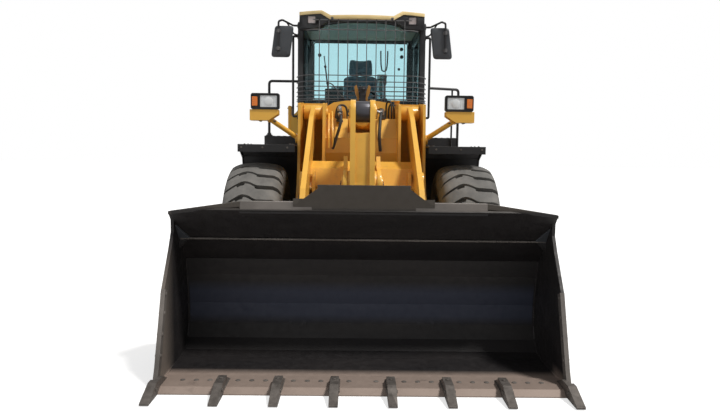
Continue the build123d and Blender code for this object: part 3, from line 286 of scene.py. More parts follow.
# width of the rounded edge of a node, where it isn't the usual
EDGE_USUAL = 0.004
EDGES = {
    "cab_glass": 0, "cab_door_glass": 0, "windshield_guard": 0.002, "bucket": 0.003,
    "counterweight": 0.02, "cab_roof": 0.02, "engine_hood": 0.006, "operator_seat": 0,
}


def round_edges(obj, width, segments=2, angle=32):
    """Round every edge sharper than the angle."""
    weld = obj.modifiers.new("weld", "WELD")
    weld.merge_threshold = 0.00005
    bevel = obj.modifiers.new("edges", "BEVEL")
    bevel.width = width
    bevel.segments = segments
    bevel.limit_method = "ANGLE"
    bevel.angle_limit = math.radians(angle)
    bevel.harden_normals = True
    bevel.use_clamp_overlap = True


for name, obj in nodes.items():
    chosen = next(m for start, m in NODE_MATERIALS if name.startswith(start))
    obj.data.materials.clear()
    obj.data.materials.append(chosen)
    width = EDGES.get(name, EDGE_USUAL)
    if width and not name.startswith(("tyre_", "rim_")):
        round_edges(obj, width)


# ---------------------------------------------------------------- camera and light
CAMERA_PLACE = (-0.080, -8.381, 1.747)
CAMERA_DOWN, CAMERA_RIGHT, CAMERA_ROLL = 5.33, 0.565, 0.70  # degrees
camera_data = bpy.data.cameras.new("camera")
camera_data.lens = 32.9  # mm, with a film 36 mm wide
camera = bpy.data.objects.new("camera", camera_data)
bpy.context.scene.collection.objects.link(camera)
camera.matrix_world = (
    Matrix.Translation(CAMERA_PLACE)
    @ Matrix.Rotation(math.radians(-CAMERA_RIGHT), 4, "Z")
    @ Matrix.Rotation(math.radians(90 - CAMERA_DOWN), 4, "X")
    @ Matrix.Rotation(math.radians(CAMERA_ROLL), 4, "Z")
)
bpy.context.scene.camera = camera
bpy.context.scene.view_settings.view_transform = "Standard"


def lamp(name, kind, place, target, power, **settings):
    """A studio light at a place, aimed at a target."""
    data = bpy.data.lights.new(name, kind)
    data.energy = power
    for key, value in settings.items():
        setattr(data, key, value)
    made = bpy.data.objects.new(name, data)
    bpy.context.scene.collection.objects.link(made)
    made.location = place
    made.rotation_euler = (Vector(target) - Vector(place)).to_track_quat("-Z", "Y").to_euler()


lamp("key", "SUN", (4.6, -2.4, 9.0), (0, 0, 0), 3.1, angle=math.radians(9), color=(1.0, 0.97, 0.93))
lamp("fill", "AREA", (-8.0, -8.0, 5.0), (0, -1, 1), 130, size=6.0)
lamp("back", "AREA", (0.0, 12.0, 9.0), (0, 1, 1.5), 420, size=6.0)

WORLD_LIGHT = 0.34
WHITE_GLOW = 0.62  # added to the floor where the camera sees it
world = bpy.data.worlds.new("studio")
bpy.context.scene.world = world
world.use_nodes = True
tree = world.node_tree
background = tree.nodes["Background"]
background.inputs["Color"].default_value = (1, 1, 1, 1)
path = add_node(tree, "ShaderNodeLightPath")
seen = add_node(tree, "ShaderNodeMath", operation="MAXIMUM")
tree.links.new(path.outputs["Is Camera Ray"], seen.inputs[0])
tree.links.new(path.outputs["Is Transmission Ray"], seen.inputs[1])
tree.links.new(ramp(tree, seen.outputs[0], 0, 1, (WORLD_LIGHT, 1.0)), background.inputs["Strength"])

floor_mesh = bpy.data.meshes.new("floor")
FAR = 60
floor_mesh.from_pydata([(-FAR, -FAR, 0), (FAR, -FAR, 0), (FAR, FAR, 0), (-FAR, FAR, 0)], [], [(0, 1, 2, 3)])
floor = bpy.data.objects.new("floor", floor_mesh)
bpy.context.scene.collection.objects.link(floor)
floor.location.z = -0.001
floor_material, tree, shader = new_material("pale_floor")
shader.inputs["Base Color"].default_value = (0.55, 0.55, 0.55, 1)
shader.inputs["Roughness"].default_value = 0.9
shader.inputs["Emission Color"].default_value = (1, 1, 1, 1)
path = add_node(tree, "ShaderNodeLightPath")
glow = ramp(tree, path.outputs["Is Camera Ray"], 0, 1, (0.0, WHITE_GLOW))
tree.links.new(glow, shader.inputs["Emission Strength"])
floor_mesh.materials.append(floor_material)

# ---------------------------------------------------------------- shapes
X, Y, Z = Vector((1, 0, 0)), Vector((0, 1, 0)), Vector((0, 0, 1))


def settle(name, data, material, body, stands_for=()):
    """Link a new mesh or curve, give it its material, and let it ride on its body."""
    data.materials.append(material)
    made = bpy.data.objects.new(name, data)
    bpy.context.scene.collection.objects.link(made)
    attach(made, body)
    if stands_for:
        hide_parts(*stands_for)
    return made


def piece(name, shape, material, body, edges=0.0, smooth=35, stands_for=()):
    """Turn a bmesh into a piece. Its faces are smooth except across angles sharper than smooth."""
    bmesh.ops.recalc_face_normals(shape, faces=shape.faces)
    mesh = bpy.data.meshes.new(name)
    shape.to_mesh(mesh)
    shape.free()
    mesh.shade_smooth()
    mesh.set_sharp_from_angle(angle=math.radians(smooth))
    made = settle(name, mesh, material, body, stands_for)
    if edges:
        round_edges(made, edges)
    return made


def prism(shape, outline, depth):
    """A flat outline of 3-D points, thickened by a vector."""
    low = [shape.verts.new(point) for point in outline]
    high = [shape.verts.new(Vector(point) + Vector(depth)) for point in outline]
    shape.faces.new(low)
    shape.faces.new(high)
    for here, there, over, above in zip(low, low[1:] + low[:1], high[1:] + high[:1], high):
        shape.faces.new((here, there, over, above))


def wrap(shape, rings, closed=False):
    """Quads between each ring of vertices and the next, and from the last to the first where closed."""
    for low, high in zip(rings, rings[1:] + rings[:1] if closed else rings[1:]):
        for quad in zip(low, low[1:] + low[:1], high[1:] + high[:1], high):
            shape.faces.new(quad)


def loft(shape, rings):
    """A solid through rings of vertices, with a face on its first and its last."""
    shape.faces.new(rings[0])
    shape.faces.new(rings[-1])
    wrap(shape, rings)


def brick(shape, low, high):
    """A box between two corners, for joining to other shapes."""
    (x0, y0, z0), (x1, y1, z1) = low, high
    prism(shape, [(x0, y0, z0), (x1, y0, z0), (x1, y1, z0), (x0, y1, z0)], (0, 0, z1 - z0))


def square_to(axis):
    """Two unit vectors square to an axis and to each other, and the axis itself."""
    along = Vector(axis).normalized()
    first = (Z if abs(along.z) < 0.9 else X).cross(along).normalized()
    return first, along.cross(first), along


def lathe(shape, profile, centre, axis, sides=20, closed=False):
    """Turn (distance along the axis, radius) points about an axis."""
    first, second, along = square_to(axis)
    angles = [math.tau * number / sides for number in range(sides)]
    rays = [first * math.cos(a) + second * math.sin(a) for a in angles]
    rings = []
    for step, radius in profile:
        middle = Vector(centre) + along * step
        rings.append([shape.verts.new(middle + ray * radius) for ray in rays])
    if closed:
        wrap(shape, rings, closed=True)
    else:
        loft(shape, rings)


def bolt(shape, centre, axis, radius):
    """A hexagon head on a washer, standing on the surface at its centre."""
    lathe(shape, [(0, radius * 1.55), (radius * 0.25, radius * 1.55)], centre, axis, 14)
    lathe(shape, [(0, radius), (radius * 0.85, radius), (radius, radius * 0.8)], centre, axis, 6)


def bolt_ring(shape, centre, axis, ring, count, radius, turn=0.0):
    """Bolts evenly round a circle about an axis."""
    first, second, _ = square_to(axis)
    for number in range(count):
        a = math.tau * number / count + turn
        bolt(shape, Vector(centre) + (first * math.cos(a) + second * math.sin(a)) * ring, axis, radius)


def bead(shape, start, end, radius):
    """A weld bead: overlapping scales along a line."""
    start, end = Vector(start), Vector(end)
    length = (end - start).length
    scales = max(4, int(length / (radius * 1.4)))
    profile = [(0, radius * 0.2)]
    for number in range(scales):
        at = length * (number + 0.5) / scales
        size = radius * random.uniform(0.85, 1.1)
        profile += [(at - length * 0.3 / scales, size * 0.8), (at, size)]
    lathe(shape, profile + [(length, radius * 0.2)], start, end - start, 6)


def rounded(half_width, half_height, radius, steps=5):
    """A rounded rectangle about the origin, as (across, up) points."""
    points = []
    for quarter, (across, up) in enumerate(((1, 1), (-1, 1), (-1, -1), (1, -1))):
        for number in range(steps + 1):
            a = math.pi / 2 * (quarter + number / steps)
            points.append((across * (half_width - radius) + radius * math.cos(a),
                           up * (half_height - radius) + radius * math.sin(a)))
    return points


def laid(outline, centre, across, up):
    """An outline's (across, up) points, laid in space round a centre."""
    return [Vector(centre) + Vector(across) * a + Vector(up) * b for a, b in outline]


def panel(shape, centre, across, up, half_width, half_height, radius, depth):
    """A rounded plate: centre of one face, its two directions, and its thickness as a vector."""
    prism(shape, laid(rounded(half_width, half_height, radius), centre, across, up), depth)


def frame_ring(shape, centre, across, up, half_width, half_height, radius, width, depth):
    """A rounded frame: a plate with the same shape, smaller, left open in it."""
    outer = laid(rounded(half_width, half_height, radius), centre, across, up)
    hole = rounded(half_width - width, half_height - width, max(radius - width, 0.001))
    inner = laid(hole, centre, across, up)
    rings = []
    for outline in (outer, [p + Vector(depth) for p in outer], [p + Vector(depth) for p in inner], inner):
        rings.append([shape.verts.new(point) for point in outline])
    wrap(shape, rings, closed=True)


def pipe(name, points, radius, material, body, stands_for=()):
    """A bent pipe through a line's control points."""
    data = bpy.data.curves.new(name, "CURVE")
    data.dimensions = "3D"
    data.bevel_depth, data.bevel_resolution, data.use_fill_caps = radius, 3, True
    line = data.splines.new("NURBS")
    line.points.add(len(points) - 1)
    for point, place in zip(line.points, points):
        point.co = (*place, 1)
    line.order_u, line.use_endpoint_u, line.resolution_u = 3, True, 8
    return settle(name, data, material, body, stands_for)


def bent(points, radius):
    """Control points for a line that goes straight and turns each corner within a radius."""
    points = [Vector(point) for point in points]
    result = [points[0]]
    for before, corner, after in zip(points, points[1:], points[2:]):
        reach_in = min(radius, (corner - before).length * 0.5)
        reach_out = min(radius, (after - corner).length * 0.5)
        result += [corner + (before - corner).normalized() * reach_in, corner,
                   corner + (after - corner).normalized() * reach_out]
    return result + [points[-1]]


# ---------------------------------------------------------------- tyres and wheels
TYRE_R, TYRE_X, AXLE_Z = 0.790, 1.120, 0.790
AXLES = (("front", -1.165), ("rear", 2.135))
LUGS = 28
GROOVE_DEPTH = 0.052
# how far down the front of the tyre a groove lies, in lugs, from the machine's right to its left
WAVE = ((0, 0.62), (0.15, 0.34), (0.33, 0.0), (0.45, 0.08), (0.60, 0.36), (0.80, 0.36), (0.92, 0.30),
        (1, 0.36))
# (x, radius below the top, depth of the grooves) of each column across the tread
CROWN = ((0, 0.0), (0.10, 0.004), (0.17, 0.013), (0.22, 0.026), (0.262, 0.048))
SHOULDER = ((0.280, 0.078, 0.9), (0.292, 0.112, 0.55), (0.297, 0.145, 0.0))
TYRE_WALL = ((0.3, 0.185), (0.293, 0.192), (0.3, 0.205), (0.299, 0.25), (0.292, 0.30), (0.284, 0.32),
             (0.288, 0.328), (0.280, 0.345), (0.262, 0.385), (0.247, 0.41), (0.250, 0.425), (0.236, 0.45),
             (0.224, 0.472))
TREAD_STOPS = (0, 0.06, 0.12, 0.18, 0.215, 0.225, 0.29, 0.36, 0.37, 0.42, 0.47, 0.52, 0.565, 0.575, 0.63,
               0.70, 0.77, 0.84, 0.91, 0.96, 1)


def between(table, at):
    """Straight-line reading of a table of (place, value)."""
    for (x0, v0), (x1, v1) in zip(table, table[1:]):
        if at <= x1:
            return v0 + (v1 - v0) * (at - x0) / (x1 - x0)
    return table[-1][1]


def groove_width(at):
    """Share of a lug's pitch that its groove takes, wider in two places."""
    if 0.22 < at < 0.365:
        return 0.33
    return 0.29 if at > 0.57 else 0.18


def tyre_columns():
    """(x, radius, depth of grooves, offset in lugs, groove width) from the right side to the left."""
    half = CROWN[-1][0]
    tread = []
    for stop in TREAD_STOPS:
        x = -half + 2 * half * stop
        tread.append((x, TYRE_R - between(CROWN, abs(x)), 1.0, between(WAVE, stop), groove_width(stop)))
    left = [(x, TYRE_R - drop, share, tread[-1][3], 0.29) for x, drop, share in SHOULDER]
    left += [(x, TYRE_R - drop, 0.0, tread[-1][3], 0.29) for x, drop in TYRE_WALL]
    right = [(-x, TYRE_R - drop, share, tread[0][3], 0.18) for x, drop, share in SHOULDER]
    right += [(-x, TYRE_R - drop, 0.0, tread[0][3], 0.18) for x, drop in TYRE_WALL]
    return right[::-1] + tread + left


for end, axle_y in AXLES:
    for s, side in SIDES:
        shape = bmesh.new()
        rows = []
        columns = tyre_columns()
        for lug in range(LUGS):
            for step in range(6):
                row = []
                for x, radius, depth, offset, width in columns:
                    at = (0, 0.02, width - 0.02, width, width + (1 - width) / 3,
                          width + (1 - width) * 2 / 3)[step]
                    a = math.tau * (lug + at + offset) / LUGS
                    r = radius - (GROOVE_DEPTH * depth if step in (1, 2) else 0)
                    y, z = axle_y - r * math.sin(a), AXLE_Z + r * math.cos(a)
                    row.append(shape.verts.new((s * TYRE_X + x, y, z)))
                rows.append(row)
        for low, high in zip(rows, rows[1:] + rows[:1]):
            for here, there, over, above in zip(low, low[1:], high[1:], high):
                shape.faces.new((here, there, over, above))
        body = f"wheel_{end}_{side}"
        piece(f"tread_{end}_{side}", shape, RUBBER, body, smooth=40, stands_for=(f"tyre_{end}_{side}",))

        shape = bmesh.new()
        centre = Vector((s * TYRE_X, axle_y, AXLE_Z))
        bolt_ring(shape, centre + X * s * 0.081, X * s, 0.232, 16, 0.017)
        bolt_ring(shape, centre + X * s * 0.214, X * s, 0.075, 8, 0.010, 0.2)
        lathe(shape, [(0.212, 0.05), (0.226, 0.05), (0.232, 0.03), (0.232, 0.012)], centre, X * s, 24)
        # lock ring, just inside the outer flange
        lathe(shape, [(0.196, 0.296), (0.206, 0.303), (0.216, 0.300), (0.216, 0.292), (0.2, 0.288)], centre,
              X * s, 72, closed=True)
        # valve stem
        lathe(shape, [(0.082, 0.007), (0.14, 0.007), (0.145, 0.009), (0.16, 0.009)], centre + Z * 0.27, X * s,
              10)
        piece(f"wheel_nuts_{end}_{side}", shape, STEEL if end == "rear" else GREY, body, edges=0.001)

# ---------------------------------------------------------------- head lamps
LAMP_X, LAMP_FRONT, LAMP_LOW, LAMP_HALF, LAMP_HIGH = 1.020, -1.405, 2.146, 0.150, 0.168
SOCKET = (-1.06, 1.85)  # (y, z) where each bracket's tube meets its tower
for s, side in SIDES:
    middle = Vector((s * LAMP_X, LAMP_FRONT, LAMP_LOW + LAMP_HIGH / 2))
    shape = bmesh.new()
    # shell, tapered to the back, with a raised rim round the lenses
    outline = rounded(LAMP_HALF, LAMP_HIGH / 2, 0.022)
    rings = []
    for back, share in ((0.012, 1.0), (0.05, 1.0), (0.12, 0.94), (0.165, 0.72), (0.170, 0.5)):
        rings.append([shape.verts.new(middle + Vector((a * share, back, b * share))) for a, b in outline])
    loft(shape, rings)
    frame_ring(shape, middle + Y * 0.013, X, Z, LAMP_HALF, LAMP_HIGH / 2, 0.022, 0.012, -Y * 0.013)
    main = middle - X * s * 0.036
    frame_ring(shape, main + Y * 0.013, X, Z, 0.098, 0.070, 0.016, 0.010, -Y * 0.010)
    for across in (-0.13, 0.13):
        for up in (-0.067, 0.067):
            bolt(shape, middle + Vector((across, 0.012, up)), -Y, 0.005)
    # cable boot and mounting foot
    lathe(shape, [(0, 0.026), (0.02, 0.022), (0.024, 0.024), (0.03, 0.018), (0.034, 0.02), (0.045, 0.012)],
          middle + Y * 0.1605 - Z * 0.02, Y * 0.2 - Z, 14)
    piece(f"head_lamp_shell_{side}", shape, PLASTIC, "front_body", edges=0.002, stands_for=("headlamps",))
    shape = bmesh.new()
    # reflector seen behind the lens, then the lens itself, cushioned outwards
    panel(shape, main + Y * 0.0125, X, Z, 0.089, 0.061, 0.010, -Y * 0.004)
    lathe(shape, [(0, 0.047), (0.004, 0.045), (0.007, 0.035), (0.009, 0.012)], main + Y * 0.009, -Y, 28)
    for number in range(-4, 5):
        brick(shape, (main.x + number * 0.0185 - 0.0015, main.y + 0.006, main.z - 0.058),
              (main.x + number * 0.0185 + 0.0015, main.y + 0.009, main.z + 0.058))
    piece(f"head_lamp_lens_{side}", shape, CLEAR_LENS, "front_body", edges=0.001)
    shape = bmesh.new()
    turn = middle + X * s * 0.110
    panel(shape, turn + Y * 0.0125, X, Z, 0.030, 0.048, 0.008, -Y * 0.011)
    brick(shape, (turn.x + s * 0.016, turn.y + 0.004, turn.z - 0.048),
          (turn.x + s * 0.0415, turn.y + 0.05, turn.z + 0.048))
    for number in range(5):
        up = turn.z - 0.036 + number * 0.018
        brick(shape, (turn.x - 0.026, turn.y - 0.0002, up - 0.002),
              (turn.x + 0.026, turn.y + 0.003, up + 0.002))
    piece(f"turn_lamp_{side}", shape, AMBER_LENS, "front_body", edges=0.001)
    shape = bmesh.new()
    for across in (-0.09, 0.06):
        for back in (0.035, 0.125):
            bolt(shape, (s * (LAMP_X + across), LAMP_FRONT + back, 2.0298), -Z, 0.010)
    lathe(shape, [(0, 0.046), (0.012, 0.046), (0.016, 0.04)], (s * 0.694, *SOCKET), X * s, 24)
    bolt_ring(shape, (s * 0.7095, *SOCKET), X * s, 0.028, 4, 0.006)
    piece(f"lamp_bracket_bolts_{side}", shape, STEEL, "front_body", edges=0.001)
    shape = bmesh.new()
    bead(shape, (s * 1.00, -1.27, 2.028), (s * 0.97, -1.30, 2.045), 0.006)
    lathe(shape, [(0, 0.036), (0.01, 0.034), (0.016, 0.028)], (s * 0.985, -1.272, 2.048),
          (-s * 0.62, 0.5, -0.60), 20)
    piece(f"lamp_bracket_weld_{side}", shape, YELLOW, "front_body")

# ---------------------------------------------------------------- cab: lamps, rails, mirrors, wiper
for s, side in SIDES:
    # work lamp let into the block under the roof
    middle = Vector((s * 0.622, -0.085, 3.318))
    shape = bmesh.new()
    frame_ring(shape, middle, X, Z, 0.056, 0.052, 0.010, 0.010, -Y * 0.030)
    panel(shape, middle + Y * 0.001, X, Z, 0.050, 0.046, 0.008, -Y * 0.006)
    for across in (-0.046, 0.046):
        bolt(shape, middle + Vector((across, -0.029, -0.047)), -Y, 0.004)
    piece(f"work_lamp_frame_{side}", shape, PLASTIC, "rear_body", edges=0.0015)
    shape = bmesh.new()
    panel(shape, middle - Y * 0.006, X, Z, 0.045, 0.041, 0.006, -Y * 0.012)
    for number in range(-3, 4):
        brick(shape, (middle.x + number * 0.012 - 0.001, middle.y - 0.0215, middle.z - 0.038),
              (middle.x + number * 0.012 + 0.001, middle.y - 0.018, middle.z + 0.038))
    piece(f"work_lamp_lens_{side}", shape, WORK_LENS, "rear_body", edges=0.001)

RAIL_R, POST_R = 0.015, 0.017
CAB_WALL = 0.8105
RAIL_BEND = 0.09
for s, side in SIDES:
    first = [(s * CAB_WALL, 0.17, 2.15), (s * 0.872, 0.17, 2.15), (s * 0.872, 0.17, 3.16),
             (s * CAB_WALL, 0.17, 3.16)]
    pipe(f"grab_rail_{side}", bent(first, 0.05), RAIL_R, BLACK, "rear_body", stands_for=("handrails",))
    shape = bmesh.new()
    for z in (2.15, 3.16):
        lathe(shape, [(0, 0.034), (0.006, 0.034), (0.008, 0.03)], (s * CAB_WALL, 0.17, z), X * s, 20)
        for y in (-0.024, 0.024):
            bolt(shape, (s * (CAB_WALL + 0.007), 0.17 + y, z), X * s, 0.0045)
    piece(f"rail_feet_{side}", shape, BLACK, "rear_body", edges=0.001)
POST_Y, RIGHT_POST_X, LEFT_POST_X = 0.345, -1.200, 1.2775
route = [(-CAB_WALL, POST_Y, 2.612), (RIGHT_POST_X, POST_Y, 2.612), (RIGHT_POST_X, POST_Y, 1.902)]
pipe("platform_rail_right", bent(route, RAIL_BEND), POST_R, BLACK, "rear_body")
route = [(0.872, 0.17, 2.530), (LEFT_POST_X, POST_Y, 2.530), (LEFT_POST_X, POST_Y, 1.700)]
pipe("platform_rail_left", bent(route, RAIL_BEND), POST_R, BLACK, "rear_body")
pipe("platform_post_left", [(1.190, 0.3007, 1.702), (1.190, 0.3007, 2.1), (1.190, 0.3007, 2.512)], 0.012,
     BLACK, "rear_body")
shape = bmesh.new()
lathe(shape, [(0, 0.045), (0.010, 0.045), (0.012, 0.03), (0.04, 0.024)],
      (RIGHT_POST_X, POST_Y, 1.9005), Z, 20)
for x in (-0.032, 0.032):
    bolt(shape, (RIGHT_POST_X + x, POST_Y, 1.911), Z, 0.006)
for z in (1.74, 1.86):
    bolt(shape, (1.190, 0.288, z), -Y, 0.007)
piece("rail_base_right", shape, BLACK, "rear_body", edges=0.001)

MIRROR_POST_X, MIRROR_POST_Y = 1.0275, -0.152
for s, side in SIDES:
    # swept arm with two ties to the cab, a clamp, and a shell with its glass facing back
    corners = [(s * CAB_WALL, 0.16, 3.290), (s * 0.87, 0.16, 3.292), (s * 0.975, MIRROR_POST_Y, 3.302),
               (s * 1.022, MIRROR_POST_Y, 3.285), (s * 1.030, MIRROR_POST_Y, 2.925)]
    pipe(f"mirror_arm_{side}", bent(corners, 0.05), 0.0125, BLACK, "rear_body", stands_for=("mirrors",))
    pipe(f"mirror_tie_{side}", bent([(s * CAB_WALL, 0.16, 3.17), (s * 0.862, 0.10, 3.18),
                                     (s * 0.930, -0.04, 3.292)], 0.05), 0.010, BLACK, "rear_body")
    shape = bmesh.new()
    corners = ((0.840, 3.240), (1.070, 3.240), (1.120, 2.860), (0.887, 2.860))
    corners = [Vector((s * x, z)) for x, z in corners]
    middle = sum(corners, Vector((0, 0))) / 4
    outline = []
    for corner, before, after in zip(corners, corners[-1:] + corners[:-1], corners[1:] + corners[:1]):
        start = corner + (before - corner).normalized() * 0.04
        end = corner + (after - corner).normalized() * 0.04
        for share in (0, 0.25, 0.5, 0.75, 1):
            outline.append(start.lerp(corner, share).lerp(corner.lerp(end, share), share))
    rings = []
    for y, share in ((-0.092, 0.90), (-0.090, 0.955), (-0.090, 0.998), (-0.106, 1.0), (-0.128, 0.975),
                     (-0.139, 0.88), (-0.1395, 0.5)):
        places = [middle.lerp(point, share) for point in outline]
        rings.append([shape.verts.new((at.x, y, at.y)) for at in places])
    loft(shape, rings)
    piece(f"mirror_shell_{side}", shape, SHELL, "rear_body", edges=0.0015)
    shape = bmesh.new()
    places = [middle.lerp(point, 0.89) for point in outline]
    shape.faces.new([shape.verts.new((at.x, -0.0905, at.y)) for at in places])
    piece(f"mirror_glass_{side}", shape, MIRROR, "rear_body")
    shape = bmesh.new()
    for z in (3.17, 2.96):
        lathe(shape, [(-0.022, 0.019), (0.022, 0.019)], (s * MIRROR_POST_X, MIRROR_POST_Y, z), Z, 16)
        brick(shape, (s * MIRROR_POST_X - 0.03, MIRROR_POST_Y + 0.002, z - 0.016),
              (s * MIRROR_POST_X + 0.03, MIRROR_POST_Y + 0.014, z + 0.016))
        bolt(shape, (s * MIRROR_POST_X + 0.021, MIRROR_POST_Y, z), X, 0.006)
    lathe(shape, [(0, 0.03), (0.006, 0.03), (0.008, 0.02)], (s * CAB_WALL, 0.16, 3.290), X * s, 18)
    lathe(shape, [(0, 0.024), (0.006, 0.024), (0.008, 0.016)], (s * CAB_WALL, 0.16, 3.17), X * s, 18)
    piece(f"mirror_clamps_{side}", shape, GREY, "rear_body", edges=0.001)


def glass_y(x, inset=0.022):
    """Y of the bowed windscreen's outer face at an x, from the arc through its corners."""
    half, front, corner = 0.81 - inset, -0.065 + inset, 0.130 + inset * 0.6
    rise = corner - front
    radius = (half * half + rise * rise) / (2 * rise)
    return front + radius - math.sqrt(radius * radius - x * x)


def screen_loop(low, corner, half, arch):
    """The windscreen's outline as (x, z) points, square below and arched above."""
    points = [(-half, low), (0, low), (half, low), (half, corner), (0.56, corner), (0.44, corner + 0.052),
              (0.30, arch - 0.006), (0.20, arch), (-0.20, arch), (-0.30, arch - 0.006),
              (-0.44, corner + 0.052), (-0.56, corner), (-half, corner)]
    steps_of = (6, 6, 1, 2, 1, 1, 1, 4, 1, 1, 1, 2, 1)
    result = []
    for steps, (x0, z0), (x1, z1) in zip(steps_of, points, points[1:] + points[:1]):
        result += [(x0 + (x1 - x0) * n / steps, z0 + (z1 - z0) * n / steps) for n in range(steps)]
    return result


# rubber gasket round the windscreen, following its bow
shape = bmesh.new()
outer, inner = screen_loop(2.291, 3.231, 0.741, 3.307), screen_loop(2.303, 3.219, 0.729, 3.295)
rings = []
for loop, forward in ((outer, 0.002), (outer, -0.011), (inner, -0.011), (inner, 0.0)):
    rings.append([shape.verts.new((x, glass_y(x) + forward, z)) for x, z in loop])
wrap(shape, rings)
piece("windscreen_seal", shape, RUBBER_SEAL, "rear_body")

# wiper: a motor cap, an elbowed arm and its blade, all just in front of the glass
WIPER_FOOT, WIPER_ELBOW, WIPER_JOINT = (-0.235, 2.372), (-0.375, 2.565), (-0.425, 2.560)
BLADE_LOW, BLADE_HIGH = (-0.395, 2.310), (-0.470, 2.895)


def on_glass(place, out=0.03):
    """The point in front of the windscreen at (x, z)."""
    return Vector((place[0], glass_y(place[0]) - out, place[1]))


pipe("wiper_arm", [on_glass(WIPER_FOOT, 0.05), on_glass((-0.30, 2.46), 0.045), on_glass(WIPER_ELBOW, 0.04),
                   on_glass(WIPER_JOINT, 0.03)], 0.007, BLACK, "rear_body")
shape = bmesh.new()
lathe(shape, [(0, 0.026), (0.045, 0.022), (0.055, 0.012)], on_glass(WIPER_FOOT, 0.002), -Y, 20)
low, high = on_glass(BLADE_LOW, 0.012), on_glass(BLADE_HIGH, 0.012)
along = (high - low).normalized()
across = along.cross(Y).normalized() * 0.006
for start, end, half, depth in ((low, high, 1.0, 0.012),
                                (low + along * 0.12, high - along * 0.12, 1.4, 0.020)):
    prism(shape, [start - across * half, start + across * half, end + across * half, end - across * half],
          (0, -depth, 0))
knuckle = Vector((0.014, 0, 0.014))
brick(shape, on_glass(WIPER_JOINT, 0.036) - knuckle, on_glass(WIPER_JOINT, 0.010) + knuckle)
piece("wiper_blade", shape, PLASTIC, "rear_body", edges=0.001)

# grommets through the glass, and the cab's inside: grip loop, lever, display
shape = bmesh.new()
for x, z in ((-0.455, 2.765), (0.470, 2.745)):
    lathe(shape, [(0, 0.017), (0.012, 0.017), (0.016, 0.010)], on_glass((x, z), 0.0), -Y, 16)
for x, z in ((-0.60, 3.10), (0.60, 3.09), (0.595, 3.20)):
    lathe(shape, [(0, 0.026), (0.020, 0.026), (0.026, 0.014)], (x, 1.432, z), -Y, 16)
piece("glass_grommets", shape, PLASTIC, "rear_body", edges=0.001)
pipe("cab_grip", [(0.29, 1.33, 3.16), (0.29, 1.33, 2.90), (0.34, 1.33, 2.86), (0.39, 1.33, 2.90),
                  (0.39, 1.33, 3.16)], 0.010, BLACK, "rear_body")
shape = bmesh.new()
lathe(shape, [(0, 0.05), (0.02, 0.044), (0.03, 0.046), (0.05, 0.036), (0.06, 0.038), (0.08, 0.028),
              (0.085, 0.014), (0.28, 0.011)], (0.33, 0.78, 2.36), (0, -0.12, 1), 20)
lathe(shape, [(0, 0.018), (0.03, 0.024), (0.08, 0.021), (0.12, 0.027), (0.135, 0.02), (0.14, 0.008)],
      (0.33, 0.748, 2.62), (0, -0.12, 1), 18)
piece("control_lever", shape, PLASTIC, "rear_body", edges=0.0008)
shape = bmesh.new()
panel(shape, (-0.36, 0.52, 2.47), X, (0, 0.25, 0.97), 0.12, 0.075, 0.015, (0, 0.03, -0.008))
lathe(shape, [(0, 0.014), (0.16, 0.014)], (-0.36, 0.53, 2.28), Z, 12)
lathe(shape, [(0, 0.026), (0.055, 0.016), (0.062, 0.02), (0.075, 0.02)], (-0.2, 0.47, 2.45), (0.4, -0.2, 1),
      12)
piece("dash_display", shape, PLASTIC, "rear_body", edges=0.002)

# clips that hold the guard's bars, where they cross its rails
shape = bmesh.new()
BARS, BAR_PITCH = 10, 0.115
for number in range(BARS):
    x = (number - (BARS - 1) / 2) * BAR_PITCH
    for z in (2.27, 3.296):
        lathe(shape, [(0, 0.0085), (0.004, 0.0085)], (x, -0.2412, z), -Y, 10)
for s in (-1, 1):
    for z in (3.302, 2.280):
        bolt(shape, (s * 0.365, -0.2402, z), -Y, 0.006)
piece("guard_clips", shape, BLACK, "rear_body")

